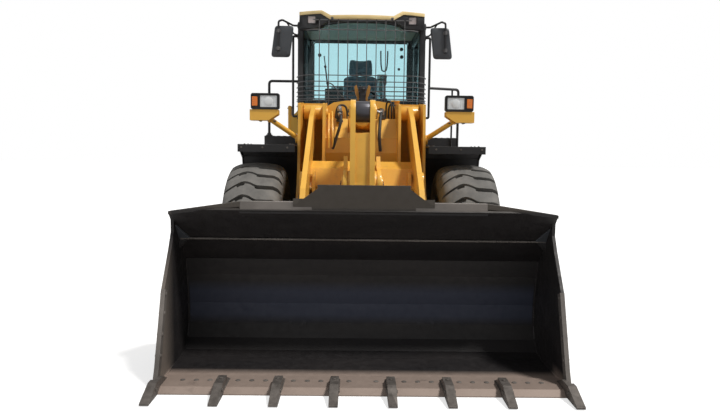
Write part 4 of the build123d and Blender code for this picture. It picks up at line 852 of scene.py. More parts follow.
# ---------------------------------------------------------------- lamp brackets, front fenders
TOWER_SIDE, TOWER_CAP = 0.7005, 0.714
for s, side in SIDES:
    shape = bmesh.new()
    outline = [(0.985, 2.030), (1.183, 2.030), (1.183, 2.1457), (0.885, 2.1457), (0.885, 2.095)]
    prism(shape, [(s * x, -1.397, z) for x, z in outline], (0, 0.152, 0))
    lathe(shape, [(0, 0.027), (0.455, 0.027)], (s * 1.000, -1.285, 2.060), (-s * 0.306, 0.225, -0.210), 20)
    lathe(shape, [(0, 0.055), (0.029, 0.055)], (s * TOWER_SIDE, *SOCKET), X * s, 28)
    piece(f"head_lamp_bracket_{side}", shape, YELLOW, "front_body", edges=0.004,
          stands_for=("headlamp_brackets",))

    # fender: a level lip over the tyre, turned down in front, and a guard that drops steeply behind it
    inner, outer, wide = TOWER_SIDE, 1.3, 1.4
    shape = bmesh.new()
    level = [(-1.465, 1.700), (-1.465, 1.780), (-0.850, 1.780), (-0.856, 1.765), (-1.450, 1.765),
             (-1.450, 1.700)]
    prism(shape, [(s * inner, y, z) for y, z in level], (s * (outer - inner), 0, 0))
    guard = [(-0.870, 1.780), (-0.850, 1.780), (-0.575, 1.650), (-0.500, 1.420), (-0.330, 1.160),
             (-0.330, 1.080), (-0.342, 1.080), (-0.342, 1.157), (-0.511, 1.414), (-0.585, 1.641),
             (-0.853, 1.767), (-0.870, 1.767)]
    prism(shape, [(s * inner, y, z) for y, z in guard], (s * (wide - inner), 0, 0))
    # turned-down side lip and stiffening ribs under the level part
    side_lip = [(-0.870, 1.780), (-0.850, 1.780), (-0.575, 1.650), (-0.500, 1.420), (-0.524, 1.412),
                (-0.598, 1.622), (-0.870, 1.745)]
    prism(shape, [(s * (wide - 0.012), y, z) for y, z in side_lip], (s * 0.012, 0, 0))
    for x in (0.86, 1.02, 1.18):
        brick(shape, (s * x - 0.006, -1.44, 1.745), (s * x + 0.006, -0.88, 1.766))
    piece(f"front_fender_{side}", shape, PLASTIC, "front_body", edges=0.003, stands_for=("front_fenders",))
    shape = bmesh.new()
    for y in (-1.38, -1.15, -0.93):
        bolt(shape, (s * 0.76, y, 1.7795), Z, 0.010)
        bolt(shape, (s * 1.24, y, 1.7795), Z, 0.008)
    for x in (0.80, 1.00, 1.20, 1.36):
        bolt(shape, (s * x, -0.5515, 1.560), (0, 1.0, 0.32), 0.008)
    for x in (0.78, 1.04, 1.26):
        bolt(shape, (s * x, -1.4655, 1.748), -Y, 0.007)
    piece(f"fender_bolts_{side}", shape, STEEL, "front_body")

# ---------------------------------------------------------------- seat
CAB_FLOOR = 1.7405


def apply_modifiers(obj):
    """Bake an object's modifiers into its mesh."""
    graph = bpy.context.evaluated_depsgraph_get()
    baked = bpy.data.meshes.new_from_object(obj.evaluated_get(graph))
    obj.modifiers.clear()
    obj.data = baked


def cushion(name, outline, half, channels=(), puff=0.024):
    """A padded piece from a side outline (y, z), as wide as 2 * half, its sides pulled in at the corners."""
    shape = bmesh.new()
    across = [-1.0, -0.93, -0.7, -0.35, 0, 0.35, 0.7, 0.93, 1.0]
    cy = sum(p[0] for p in outline) / len(outline)
    cz = sum(p[1] for p in outline) / len(outline)
    loops = []
    for a in across:
        share = 1 - 0.22 * max(0.0, abs(a) - 0.86) / 0.14
        places = [(a * half, cy + (y - cy) * share, cz + (z - cz) * share) for y, z in outline]
        loops.append([shape.verts.new(place) for place in places])
    loft(shape, loops)
    made = piece(name, shape, CLOTH, "rear_body", smooth=80)
    remesh = made.modifiers.new("remesh", "REMESH")
    remesh.mode, remesh.voxel_size = "VOXEL", 0.009
    apply_modifiers(made)
    start = [v.co.copy() for v in made.data.vertices]
    cloth = made.modifiers.new("cloth", "CLOTH")
    cloth.settings.use_pressure = True
    cloth.settings.uniform_pressure_force = 4
    cloth.settings.effector_weights.gravity = 0
    for number in range(1, 21):
        bpy.context.scene.frame_set(number)
    apply_modifiers(made)
    for vertex, first in zip(made.data.vertices, start):
        moved = vertex.co - first
        if moved.length > puff:
            vertex.co = first + moved.normalized() * puff
    bpy.context.scene.frame_set(1)
    # sewn channels: the surface dips along each line
    for vertex in made.data.vertices:
        for kind, at in channels:
            away = abs(getattr(vertex.co, kind) - at)
            if away < 0.012:
                vertex.co += (Vector((0, cy, cz)) - vertex.co).normalized() * 0.006 * (1 - away / 0.012)
    made.data.shade_smooth()
    soft = made.modifiers.new("soft", "SUBSURF")
    soft.levels = soft.render_levels = 1
    return made


CUSHION = [(0.775, 2.115), (0.80, 2.180), (0.88, 2.192), (1.05, 2.178), (1.20, 2.182), (1.215, 2.10),
           (1.0, 2.088), (0.80, 2.088)]
BACK = [(1.145, 2.21), (1.160, 2.34), (1.175, 2.48), (1.195, 2.62), (1.222, 2.765), (1.245, 2.805),
        (1.305, 2.800), (1.315, 2.77), (1.29, 2.55), (1.262, 2.34), (1.245, 2.20)]
HEAD = [(1.214, 2.775), (1.226, 2.88), (1.245, 2.998), (1.268, 3.030), (1.300, 3.020), (1.310, 2.97),
        (1.302, 2.775)]
cushion("seat_cushion", CUSHION, 0.245, (("x", -0.13), ("x", 0.13), ("y", 0.93)))
cushion("seat_back", BACK, 0.262, (("x", -0.12), ("x", 0.12), ("z", 2.40), ("z", 2.55), ("z", 2.70)))
cushion("seat_headrest", HEAD, 0.172, (("z", 2.90),))
shape = bmesh.new()
# suspension: base rails, folding bellows and the pan that carries the cushion
for x0, x1 in ((-0.19, -0.13), (0.13, 0.19)):
    brick(shape, (x0, 0.80, CAB_FLOOR), (x1, 1.20, 1.775))
for number in range(6):
    wide = 0.185 if number % 2 else 0.165
    low = 1.775 + number * 0.045
    brick(shape, (-wide, 0.83 - (wide - 0.165), low), (wide, 1.17 + (wide - 0.165), low + 0.045))
brick(shape, (-0.215, 0.79, 2.045), (0.215, 1.235, 2.088))
for s in (-1, 1):
    # folding arm rests on their brackets
    prism(shape, [(s * 0.262, 0.82, 2.300), (s * 0.262, 0.84, 2.352), (s * 0.262, 1.17, 2.360),
                  (s * 0.262, 1.2, 2.325), (s * 0.262, 1.18, 2.300)], (s * 0.075, 0, 0))
    brick(shape, (s * 0.236, 1.14, 2.24), (s * 0.262, 1.20, 2.35))
    lathe(shape, [(0, 0.011), (0.05, 0.011)], (s * 0.07, 1.275, 2.775), Z, 12)
    lathe(shape, [(0, 0.030), (0.018, 0.030), (0.024, 0.022)], (s * 0.222, 1.235, 2.14), X * s, 18)
piece("seat_base", shape, PLASTIC, "rear_body", edges=0.004, stands_for=("operator_seat",))
shape = bmesh.new()
lathe(shape, [(0, 0.018), (0.06, 0.018)], (0.262, 1.17, 2.13), X, 12)
brick(shape, (0.236, 1.16, 2.09), (0.262, 1.18, 2.2))
piece("seat_belt_buckle", shape, RED_LENS, "rear_body", edges=0.003)

# ---------------------------------------------------------------- steering column and wheel
WHEEL_AT, WHEEL_AXIS = Vector((0, 0.53, 2.45)), Vector((0, 0.33, 0.94)).normalized()
first, second, _ = square_to(WHEEL_AXIS)
shape = bmesh.new()
angles = [math.tau * number / 12 for number in range(12)]
ring = [(math.sin(a) * 0.015, 0.190 + math.cos(a) * 0.015) for a in angles]
lathe(shape, ring, WHEEL_AT, WHEEL_AXIS, 56, closed=True)
lathe(shape, [(-0.030, 0.036), (-0.015, 0.052), (0.012, 0.055), (0.026, 0.048), (0.030, 0.020)], WHEEL_AT,
      WHEEL_AXIS, 28)
for number in range(3):
    a = math.tau * number / 3 + math.pi / 2
    spoke = first * math.cos(a) + second * math.sin(a)
    wide = WHEEL_AXIS.cross(spoke)
    prism(shape, [WHEEL_AT + spoke * 0.045 + wide * 0.018, WHEEL_AT + spoke * 0.045 - wide * 0.018,
                  WHEEL_AT + spoke * 0.182 - wide * 0.011, WHEEL_AT + spoke * 0.182 + wide * 0.011],
          WHEEL_AXIS * 0.009)
lathe(shape, [(0, 0.016), (0.012, 0.012), (0.03, 0.022), (0.048, 0.018), (0.054, 0.006)],
      WHEEL_AT + first * 0.188 + WHEEL_AXIS * 0.012, WHEEL_AXIS, 16)
lathe(shape, [(0, 0.058), (0.06, 0.052), (0.075, 0.058), (0.09, 0.046), (0.40, 0.040), (0.55, 0.036)],
      (0, 0.335, 1.895), (0, 0.331, 0.944), 24)
prism(shape, [(-0.12, 0.25, CAB_FLOOR), (-0.12, 0.42, CAB_FLOOR), (-0.12, 0.42, 1.86), (-0.12, 0.39, 1.90),
              (-0.12, 0.29, 1.90), (-0.12, 0.25, 1.84)], (0.24, 0, 0))
for s in (-1, 1):
    prism(shape, [(s * 0.15, 0.30, 1.765), (s * 0.15, 0.47, 1.752), (s * 0.15, 0.47, 1.768),
                  (s * 0.15, 0.30, 1.850)], (s * 0.09, 0, 0))
piece("steering_wheel", shape, PLASTIC, "rear_body", edges=0.002, stands_for=("steering_console",))

# ---------------------------------------------------------------- the windscreen's arched head
HEAD_ARCH = [(0.742, 3.229), (0.560, 3.232), (0.440, 3.286), (0.300, 3.304), (0.200, 3.310)]
cutter_shape = bmesh.new()
arch = [(-x, z) for x, z in HEAD_ARCH] + HEAD_ARCH[::-1]
prism(cutter_shape, [(x, -0.5, z) for x, z in [(-0.742, 3.10)] + arch + [(0.742, 3.10)]], (0, 0.7, 0))
bmesh.ops.recalc_face_normals(cutter_shape, faces=cutter_shape.faces)
cutter_mesh = bpy.data.meshes.new("cutter")
cutter_shape.to_mesh(cutter_mesh)
cutter_shape.free()
cutter = bpy.data.objects.new("cutter", cutter_mesh)
bpy.context.scene.collection.objects.link(cutter)
opened = bpy.data.objects.new("cab_shell", nodes["cab_frame"].data.copy())
bpy.context.scene.collection.objects.link(opened)
weld = opened.modifiers.new("weld", "WELD")
weld.merge_threshold = 0.00005
cut = opened.modifiers.new("cut", "BOOLEAN")
cut.operation, cut.object, cut.solver = "DIFFERENCE", cutter, "EXACT"
bpy.context.view_layer.update()
apply_modifiers(opened)
bpy.data.objects.remove(cutter)
opened.data.materials.clear()
opened.data.materials.append(BLACK)
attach(opened, "rear_body")
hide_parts("cab_frame")
round_edges(opened, 0.004)

# windscreen and the flat panes, as bowed and flat sheets of glass
GLASS_STEPS, GLASS_HALF, GLASS_THICK = 24, 0.741, 0.008
# each flat side window: sign of x, and its limits along Y and Z
SIDE_WINDOWS = ((1, 1.13, 1.40, 2.20, 3.20), (-1, 0.26, 0.78, 1.98, 3.23), (-1, 0.85, 1.40, 2.20, 3.20))
shape = bmesh.new()
grid = []
for step in range(GLASS_STEPS + 1):
    x = -GLASS_HALF + 2 * GLASS_HALF * step / GLASS_STEPS
    top = between(arch, x) - 0.001
    up = (2.291, 2.6, 2.9, top)
    places = [(x, glass_y(x), z) for z in up] + [(x, glass_y(x) + GLASS_THICK, z) for z in up[::-1]]
    grid.append([shape.verts.new(place) for place in places])
loft(shape, grid)
brick(shape, (-0.6895, 1.440, 2.4505), (0.6895, 1.448, 3.2895))
for s, y0, y1, z0, z1 in SIDE_WINDOWS:
    brick(shape, (s * 0.770, y0 + 0.0005, z0 + 0.0005), (s * 0.778, y1 - 0.0005, z1 - 0.0005))
piece("cab_panes", shape, TINTED, "rear_body", stands_for=("cab_glass",))

# seals round the flat panes
shape = bmesh.new()
frame_ring(shape, (0, 1.4475, 2.87), X, Z, 0.689, 0.419, 0.03, 0.012, (0, 0.006, 0))
frame_ring(shape, (0, 1.4405, 2.87), X, Z, 0.689, 0.419, 0.03, 0.012, (0, -0.006, 0))
for s, y0, y1, z0, z1 in SIDE_WINDOWS:
    middle = (s * 0.7775, (y0 + y1) / 2, (z0 + z1) / 2)
    frame_ring(shape, middle, Y, Z, (y1 - y0) / 2 - 0.001, (z1 - z0) / 2 - 0.001, 0.02, 0.012, X * s * 0.008)
piece("pane_seals", shape, RUBBER_SEAL, "rear_body")

# headliner and a trim frame under it inside the cab, which show through the glass
shape = bmesh.new()
brick(shape, (-0.735, 0.13, 3.318), (0.735, 1.40, 3.328))
frame_ring(shape, (0, 0.78, 3.318), X, Y, 0.55, 0.45, 0.08, 0.02, (0, 0, -0.008))
piece("cab_headliner", shape, HEADLINER, "rear_body", edges=0.002)

# ---------------------------------------------------------------- roof
ROOF_TOP = 3.3755
shape = bmesh.new()
for x, y in ((-0.60, 1.42), (0, 1.42), (0.60, 1.42), (-0.70, 0.75), (0.70, 0.75), (-0.70, 1.15),
             (0.70, 1.15)):
    bolt(shape, (x, y, ROOF_TOP), Z, 0.011)
lathe(shape, [(0, 0.045), (0.008, 0.045), (0.012, 0.03)], (-0.45, 1.25, ROOF_TOP), Z, 24)
piece("roof_bolts", shape, GREY, "rear_body", edges=0.001)
shape = bmesh.new()
for x in (-0.36, -0.12, 0.12, 0.36):
    panel(shape, (x, 0.92, ROOF_TOP), X, Y, 0.045, 0.36, 0.03, (0, 0, 0.012))
piece("roof_ribs", shape, PALE, "rear_body", edges=0.006)

# ---------------------------------------------------------------- cover and pipes on the tilt cylinder
# the cover's ears are yellow, darkened as painted shade
shape = bmesh.new()
for s in (-1, 1):
    ear = [(s * 0.036, 2.160), (s * 0.052, 2.210), (s * 0.058, 2.290), (s * 0.078, 2.335), (s * 0.086, 2.400),
           (s * 0.064, 2.420), (s * 0.040, 2.350), (s * 0.030, 2.250)]
    prism(shape, [(x, -1.315, z) for x, z in ear], (0, 0.055, 0))
piece("pipe_cover_ears", shape, SHADED_YELLOW, "tilt_barrel", edges=0.004)
shape = bmesh.new()
brick(shape, (-0.030, -1.372, 2.150), (0.030, -1.305, 2.350))
for z in (2.20, 2.25, 2.30):
    brick(shape, (-0.036, -1.375, z), (0.036, -1.302, z + 0.018))
lathe(shape, [(0, 0.045), (0.012, 0.045), (0.018, 0.040), (0.030, 0.040), (0.034, 0.03)], (0, -1.345, 2.364),
      Z, 24)
lathe(shape, [(0, 0.034), (0.014, 0.034)], (0, -1.345, 2.35), Z, 20)
piece("pipe_cover_block", shape, PLASTIC, "tilt_barrel", edges=0.002)
for name, route in (
    ("front", [(0.045, -1.30, 2.17), (0.05, -1.20, 2.20), (0.05, -0.86, 2.175), (0.05, -0.80, 2.14)]),
    ("back", [(-0.045, -1.28, 2.17), (-0.05, -1.18, 2.205), (-0.05, -0.90, 2.185), (-0.05, -0.84, 2.15)]),
):
    pipe(f"tilt_pipe_{name}", bent(route, 0.05), 0.013, GREY, "tilt_barrel")
# clamps on top of the cylinder, which rises a little towards the front
TILT_SLOPE_FROM, TILT_SLOPE = -0.64, 0.035
shape = bmesh.new()
for y in (-1.15, -0.98):
    z = 2.147 + (TILT_SLOPE_FROM - y) * TILT_SLOPE
    brick(shape, (-0.075, y - 0.015, z), (0.075, y + 0.015, z + 0.055))
    for x in (-0.062, 0, 0.062):
        bolt(shape, (x, y, z + 0.0545), Z, 0.006)
piece("tilt_pipe_clamps", shape, BLACK, "tilt_barrel", edges=0.002)

# ---------------------------------------------------------------- front frame: bolts, keepers and welds
# (y, z) of the loader's pins, and the middle of each arm along X
ARM_PIN, LIFT_BASE, TILT_BASE, LIFT_EYE = (-0.745, 2.150), (-0.245, 0.880), (-0.640, 2.060), (-1.665, 1.220)
CRANK_PIN, ROD_PIN, LINK_REAR, LINK_FRONT = (-1.915, 1.400), (-1.895, 2.105), (-2.020, 0.600), (-2.720, 0.720)
BUCKET_PIN, ARM_X = (-2.535, 0.420), 0.55


def keeper(shape, centre, axis, radius, height):
    """A grease cap in the middle of a pin's end."""
    lathe(shape, [(0, radius), (height, radius), (height + 0.004, radius / 2)], centre, axis, 12)


shape = bmesh.new()
for s in (-1, 1):
    for pin, ring in ((ARM_PIN, 0.0496), (LIFT_BASE, 0.0465)):
        bolt_ring(shape, (s * TOWER_CAP, *pin), X * s, ring, 3, 0.010, 0.3)
        keeper(shape, (s * TOWER_CAP, *pin), X * s, 0.012, 0.010)
    bolt_ring(shape, (s * 0.159, *TILT_BASE), X * s, 0.036, 2, 0.008)
    for y, z in ((-0.30, 1.05), (-0.30, 0.9), (-0.62, 1.05), (-0.62, 0.9), (-1.05, 1.06), (-1.26, 1.06)):
        bolt(shape, (s * TOWER_SIDE, y, z), X * s, 0.013)
piece("front_frame_bolts", shape, STEEL, "front_body", edges=0.001)
shape = bmesh.new()
for s in (-1, 1):
    bead(shape, (s * 0.395, -1.00, 1.862), (s * 0.395, -0.82, 2.078), 0.007)
    bead(shape, (s * 0.395, -0.80, 2.088), (s * 0.395, -0.65, 2.088), 0.007)
    bead(shape, (s * 0.165, -1.006, 1.862), (s * 0.395, -1.006, 1.862), 0.006)
    bead(shape, (s * 0.158, -0.94, 1.93), (s * 0.158, -0.815, 2.080), 0.006)
    bead(shape, (s * 0.434, -0.675, 2.226), (s * 0.434, -0.56, 2.226), 0.006)
    for x in (0.400, 0.430, 0.670, 0.700):
        bead(shape, (s * x, -1.10, 2.232), (s * x, -0.70, 2.264), 0.004)
piece("front_frame_welds", shape, YELLOW, "front_body")

# ---------------------------------------------------------------- valves and pipes between the towers
# left and right in these names are as the photograph shows them, from in front
LEFT_VALVE, RIGHT_VALVE = (-0.250, -0.870), (0.235, -0.800)
shape = bmesh.new()
lathe(shape, [(0, 0.040), (0.02, 0.040), (0.025, 0.030), (0.06, 0.030), (0.065, 0.036), (0.12, 0.036),
              (0.125, 0.024)], (*LEFT_VALVE, 2.045), Z, 20)
brick(shape, (-0.285, -0.905, 2.075), (-0.215, -0.845, 2.115))
bolt_ring(shape, (-0.250, -0.906, 2.095), -Y, 0.020, 2, 0.006)
lathe(shape, [(0, 0.034), (0.014, 0.034), (0.02, 0.02), (0.07, 0.02)], (*RIGHT_VALVE, 2.085), Z, 18)
brick(shape, (0.195, -0.83, 2.0855), (0.275, -0.77, 2.112))
piece("valve_bodies", shape, IRON, "front_body", edges=0.001, stands_for=("control_valve",))
shape = bmesh.new()
lathe(shape, [(0, 0.030), (0.030, 0.030), (0.036, 0.022), (0.05, 0.022), (0.054, 0.012)],
      (*LEFT_VALVE, 2.170), Z, 6)
lathe(shape, [(0, 0.021), (0.05, 0.021), (0.056, 0.027), (0.080, 0.027)], (-0.250, -0.905, 2.135),
      (0.2, -1, -0.35), 6)
lathe(shape, [(0, 0.026), (0.030, 0.026), (0.034, 0.020), (0.075, 0.020)], (*RIGHT_VALVE, 2.150),
      (-0.9, -0.4, 0.25), 6)
lathe(shape, [(-0.02, 0.025), (0.045, 0.025)], (*RIGHT_VALVE, 2.150), Z, 12)
piece("valve_fittings", shape, BRIGHT, "front_body", edges=0.001)
# (name, material, radius, points to pass through)
PIPES = (
    ("valve_pipe_left", HOSE, 0.016, [(-0.235, -0.975, 2.110), (-0.225, -1.02, 2.08), (-0.245, -1.05, 1.98),
                                      (-0.275, -1.03, 1.88), (-0.30, -1.025, 1.80), (-0.32, -1.015, 1.74)]),
    ("valve_pipe_right", HOSE, 0.018, [(0.225, -0.845, 2.150), (0.215, -0.90, 2.14), (0.205, -0.97, 2.03),
                                       (0.195, -1.045, 1.90), (0.20, -1.04, 1.82), (0.21, -1.02, 1.72)]),
    ("arc_pipe_one", YELLOW, 0.011, [(-0.345, -0.72, 2.09), (-0.345, -0.72, 2.16), (-0.335, -0.83, 2.16),
                                     (-0.325, -0.96, 1.99), (-0.320, -1.035, 1.87), (-0.318, -1.02, 1.75)]),
    ("arc_pipe_two", YELLOW, 0.011, [(-0.375, -0.70, 2.09), (-0.375, -0.70, 2.14), (-0.372, -0.82, 2.14),
                                     (-0.368, -0.95, 1.98), (-0.366, -1.03, 1.86), (-0.365, -1.02, 1.75)]),
    ("loop_pipe_one", HOSE, 0.010, [(0.285, -0.60, 2.088), (0.285, -0.60, 2.24), (0.300, -0.64, 2.30),
                                    (0.335, -0.67, 2.30), (0.350, -0.68, 2.22), (0.350, -0.68, 2.088)]),
    ("loop_pipe_two", HOSE, 0.010, [(0.315, -0.59, 2.088), (0.315, -0.59, 2.20), (0.330, -0.62, 2.265),
                                    (0.365, -0.65, 2.265), (0.380, -0.66, 2.19), (0.380, -0.66, 2.088)]),
    ("loop_pipe_three", HOSE, 0.008, [(0.175, -0.62, 2.088), (0.180, -0.62, 2.17), (0.21, -0.66, 2.215),
                                      (0.26, -0.70, 2.20), (0.272, -0.71, 2.13), (0.272, -0.71, 2.088)]),
    ("back_pipe_left", HOSE, 0.012, [(-0.165, -0.56, 2.088), (-0.165, -0.56, 2.20), (-0.20, -0.57, 2.255),
                                     (-0.27, -0.57, 2.25), (-0.30, -0.57, 2.18), (-0.30, -0.57, 2.088)]),
)
for name, material, radius, points in PIPES:
    pipe(name, points, radius, material, "front_body")
shape = bmesh.new()
brick(shape, (0.335, -0.660, 2.298), (0.445, -0.560, 2.306))
brick(shape, (0.385, -0.575, 2.262), (0.445, -0.565, 2.300))
for x in (0.355, 0.425):
    bolt(shape, (x, -0.61, 2.3055), Z, 0.007)
brick(shape, (-0.395, -0.76, 2.085), (-0.320, -0.66, 2.093))
brick(shape, (0.265, -0.72, 2.085), (0.395, -0.56, 2.093))
piece("pipe_plates", shape, YELLOW, "front_body", edges=0.002)

# rails across the guard, carried round to the pillars
GUARD_ROD_R = 0.0055
GUARD_RETURN = [(0.598, -0.235), (0.690, -0.200), (0.780, -0.090), (0.815, 0.05), (0.815, 0.105)]
for z in (2.270, 2.330, 2.392, 2.445):
    for s, side in SIDES:
        route = [(s * x, y, z) for x, y in GUARD_RETURN]
        pipe(f"guard_return_{side}_{round(z * 1000)}", route, GUARD_ROD_R, GREY, "rear_body")
GUARD_RAIL = [(0.598, -0.243), (0.690, -0.205), (0.780, -0.092), (0.815, 0.05), (0.815, 0.105)]
for z in (2.352, 2.500, 2.560, 2.635):
    route = [(-x, y, z) for x, y in GUARD_RAIL[::-1]] + [(x, y, z) for x, y in GUARD_RAIL]
    pipe(f"guard_rail_{round(z * 1000)}", route, GUARD_ROD_R, GREY, "rear_body")

# ---------------------------------------------------------------- bucket
LIP_Y = -3.865
BUCKET_SIDE = 1.484  # inner face of a side plate
# (distance behind the lip, height) along the inner and outer skin
INSIDE = [(0.300, 0.030), (0.780, 0.030), (0.893, 0.054), (0.988, 0.132), (1.033, 0.248), (1.037, 0.420),
          (0.998, 0.672), (0.960, 0.815), (0.770, 1.018), (0.620, 1.163)]
OUTSIDE = [(0.790, 0.0), (0.910, 0.022), (1.016, 0.106), (1.068, 0.240), (1.073, 0.420), (1.033, 0.682),
           (0.992, 0.838), (0.860, 0.975)]
shape = bmesh.new()
for s in (-1, 1):
    for (y0, z0), (y1, z1) in zip(INSIDE, INSIDE[1:]):
        bead(shape, (s * BUCKET_SIDE, LIP_Y + y0, z0 + 0.002), (s * BUCKET_SIDE, LIP_Y + y1, z1), 0.008)
for number in range(-6, 6):
    bead(shape, (number * 0.25 + 0.002, LIP_Y + 0.301, 0.031), (number * 0.25 + 0.248, LIP_Y + 0.301, 0.031),
         0.007)
for s in (-1, 1):
    bead(shape, (s * BUCKET_SIDE, LIP_Y + 0.766, 1.058), (s * 1.402, LIP_Y + 0.766, 1.012), 0.005)
    bead(shape, (s * BUCKET_SIDE, LIP_Y + 0.766, 0.935), (s * 1.404, LIP_Y + 0.766, 1.008), 0.005)
piece("bucket_welds", shape, BUCKET, "bucket")
shape = bmesh.new()
for s in (-1, 1):
    for x in (0.10, 0.306, 0.406, 0.508, 0.712, 0.813, 0.915, 1.12, 1.22, 1.32):
        lathe(shape, [(0, 0.019), (0.0035, 0.019), (0.006, 0.013)], (s * x, LIP_Y + 0.19, 0.0398), Z, 16)
    # worn strips on the sides' leading edges
    edge = [(0.058, 0.0), (0.133, 0.147), (0.332, 0.686), (0.392, 0.664), (0.193, 0.125), (0.118, 0.0)]
    prism(shape, [(s * 1.4775, LIP_Y + y, z) for y, z in edge], (s * 0.034, 0, 0))
    for y, z in ((0.20, 0.20), (0.255, 0.345), (0.31, 0.49), (0.36, 0.625)):
        for out in (1, -1):
            lathe(shape, [(0, 0.016), (0.004, 0.016), (0.007, 0.010)],
                  (s * (1.511 if out > 0 else 1.478), LIP_Y + y - 0.012, z + 0.02), X * s * out, 14)
piece("bucket_wear", shape, EDGE_STEEL, "bucket", edges=0.0015)
shape = bmesh.new()
for s in (-1, 1):
    # ribs up the bucket's back, and plates that spread the ears' load
    for x in (0.26, 0.80, 1.14, 1.44):
        for low, high in zip(OUTSIDE, OUTSIDE[1:]):
            y0, z0, y1, z1 = *low, *high
            prism(shape, [(s * x, LIP_Y + y0 - 0.01, z0), (s * x, LIP_Y + y0 + 0.035, max(z0, 0.004)),
                          (s * x, LIP_Y + y1 + 0.035, z1), (s * x, LIP_Y + y1 - 0.01, z1)], (s * 0.022, 0, 0))
    for y0, z0, y1, z1 in ((1.075, 0.30, 1.077, 0.42), (1.077, 0.42, 1.052, 0.60)):
        prism(shape, [(s * 0.43, LIP_Y + y0 - 0.012, z0), (s * 0.43, LIP_Y + y0, z0),
                      (s * 0.43, LIP_Y + y1, z1), (s * 0.43, LIP_Y + y1 - 0.012, z1)], (s * 0.24, 0, 0))
    # stops for the crank, low on the back
    brick(shape, (s * 0.12, LIP_Y + 1.05, 0.30), (s * 0.20, LIP_Y + 1.10, 0.40))
    for out in (-1, 1):
        x = s * ARM_X + out * 0.0835
        lathe(shape, [(0, 0.070), (0.012, 0.070), (0.016, 0.060)], (x, *BUCKET_PIN), X * out, 28)
        bolt_ring(shape, (x + out * 0.014, *BUCKET_PIN), X * out, 0.040, 3, 0.008)
    lathe(shape, [(0, 0.060), (0.012, 0.060), (0.016, 0.050)], (s * 0.1135, *LINK_FRONT), X * s, 28)
    bolt_ring(shape, (s * 0.1275, *LINK_FRONT), X * s, 0.034, 3, 0.007)
piece("bucket_back", shape, BUCKET, "bucket", edges=0.003)
shape = bmesh.new()
for s in (-1, 1):
    for x in (0.203, 0.610, 1.017, 1.478):
        # each tooth: a two-strap adapter with its locking pin, and a tip set over the nose
        for out in (-1, 1):
            lathe(shape, [(0, 0.014), (0.006, 0.014), (0.009, 0.009)],
                  (s * x + out * 0.0318, LIP_Y - 0.045, 0.055), X * out, 12)
        if x < 1.4:
            lathe(shape, [(0, 0.015), (0.006, 0.015), (0.009, 0.010)], (s * x, LIP_Y + 0.085, 0.0945), Z, 12)
            brick(shape, (s * x - 0.030, LIP_Y + 0.118, 0.060), (s * x + 0.030, LIP_Y + 0.150, 0.094))
            bead(shape, (s * x - 0.034, LIP_Y + 0.02, 0.040), (s * x - 0.034, LIP_Y + 0.23, 0.042), 0.006)
            bead(shape, (s * x + 0.034, LIP_Y + 0.02, 0.040), (s * x + 0.034, LIP_Y + 0.23, 0.042), 0.006)
piece("tooth_details", shape, STEEL, "bucket", edges=0.001)

# ---------------------------------------------------------------- arms and linkage
shape = bmesh.new()
for s in (-1, 1):
    for out in (-1, 1):
        x = s * ARM_X + out * 0.080
        lathe(shape, [(0, 0.064), (0.010, 0.064), (0.013, 0.056)], (x, *LIFT_EYE), X * out, 26)
        bolt_ring(shape, (x + out * 0.012, *LIFT_EYE), X * out, 0.038, 3, 0.008)
    bolt_ring(shape, (s * 0.2015, *CRANK_PIN), X * s, 0.044, 3, 0.009, 0.5)
    keeper(shape, (s * 0.2015, *CRANK_PIN), X * s, 0.012, 0.010)
piece("arm_pin_caps", shape, STEEL, "boom", edges=0.001)
shape = bmesh.new()
for s in (-1, 1):
    for x in (s * 0.576, s * 0.524):
        bead(shape, (x, -1.63, 1.475), (x, -1.30, 1.585), 0.006)
    for x in (s * 0.143, s * 0.187):
        bead(shape, (x, -1.70, 1.345), (x, -1.60, 1.315), 0.006)
        bead(shape, (x, -1.56, 1.545), (x, -1.44, 1.575), 0.006)
piece("arm_welds", shape, YELLOW, "boom")
shape = bmesh.new()
for s in (-1, 1):
    for pin in (ROD_PIN, LINK_REAR):
        bolt_ring(shape, (s * 0.1345, *pin), X * s, 0.036, 3, 0.008, 0.4)
        keeper(shape, (s * 0.1345, *pin), X * s, 0.010, 0.008)
piece("crank_pin_bolts", shape, STEEL, "bell_crank", edges=0.001)
shape = bmesh.new()
for s in (-1, 1):
    bead(shape, (s * 0.068, -2.041, 1.52), (s * 0.068, -2.006, 1.885), 0.006)
    bead(shape, (s * 0.068, -2.000, 1.896), (s * 0.068, -1.800, 1.896), 0.006)
piece("crank_welds", shape, YELLOW, "bell_crank")

# ---------------------------------------------------------------- cylinders: glands, bands and pipes
along = (Vector((0, *LIFT_EYE)) - Vector((0, *LIFT_BASE))).normalized()
up = along.cross(X).normalized()
for s, side in SIDES:
    base = Vector((s * ARM_X, *LIFT_BASE))
    shape = bmesh.new()
    lathe(shape, [(1.225, 0.095), (1.292, 0.095), (1.298, 0.088), (1.298, 0.060), (1.315, 0.056)], base,
          along, 36)
    bolt_ring(shape, base + along * 1.297, along, 0.074, 8, 0.008)
    for at in (0.25, 0.75):
        lathe(shape, [(0, 0.087), (0.025, 0.087)], base + along * at, along, 32)
    piece(f"lift_gland_{side}", shape, YELLOW, f"lift_barrel_{side}", edges=0.001)
    stops = ((0.10, 0.075), (0.12, 0.108), (1.18, 0.108), (1.22, 0.075))
    route = [base + along * far + up * high for far, high in stops]
    pipe(f"lift_pipe_{side}", bent(route, 0.05), 0.010, GREY, f"lift_barrel_{side}")
base = Vector((0, *TILT_BASE))
along = (Vector((0, *ROD_PIN)) - base).normalized()
shape = bmesh.new()
lathe(shape, [(0.635, 0.100), (0.690, 0.100), (0.698, 0.092), (0.698, 0.062), (0.715, 0.058)], base, along,
      36)
bolt_ring(shape, base + along * 0.697, along, 0.078, 8, 0.008)
piece("tilt_gland", shape, YELLOW, "tilt_barrel", edges=0.001)

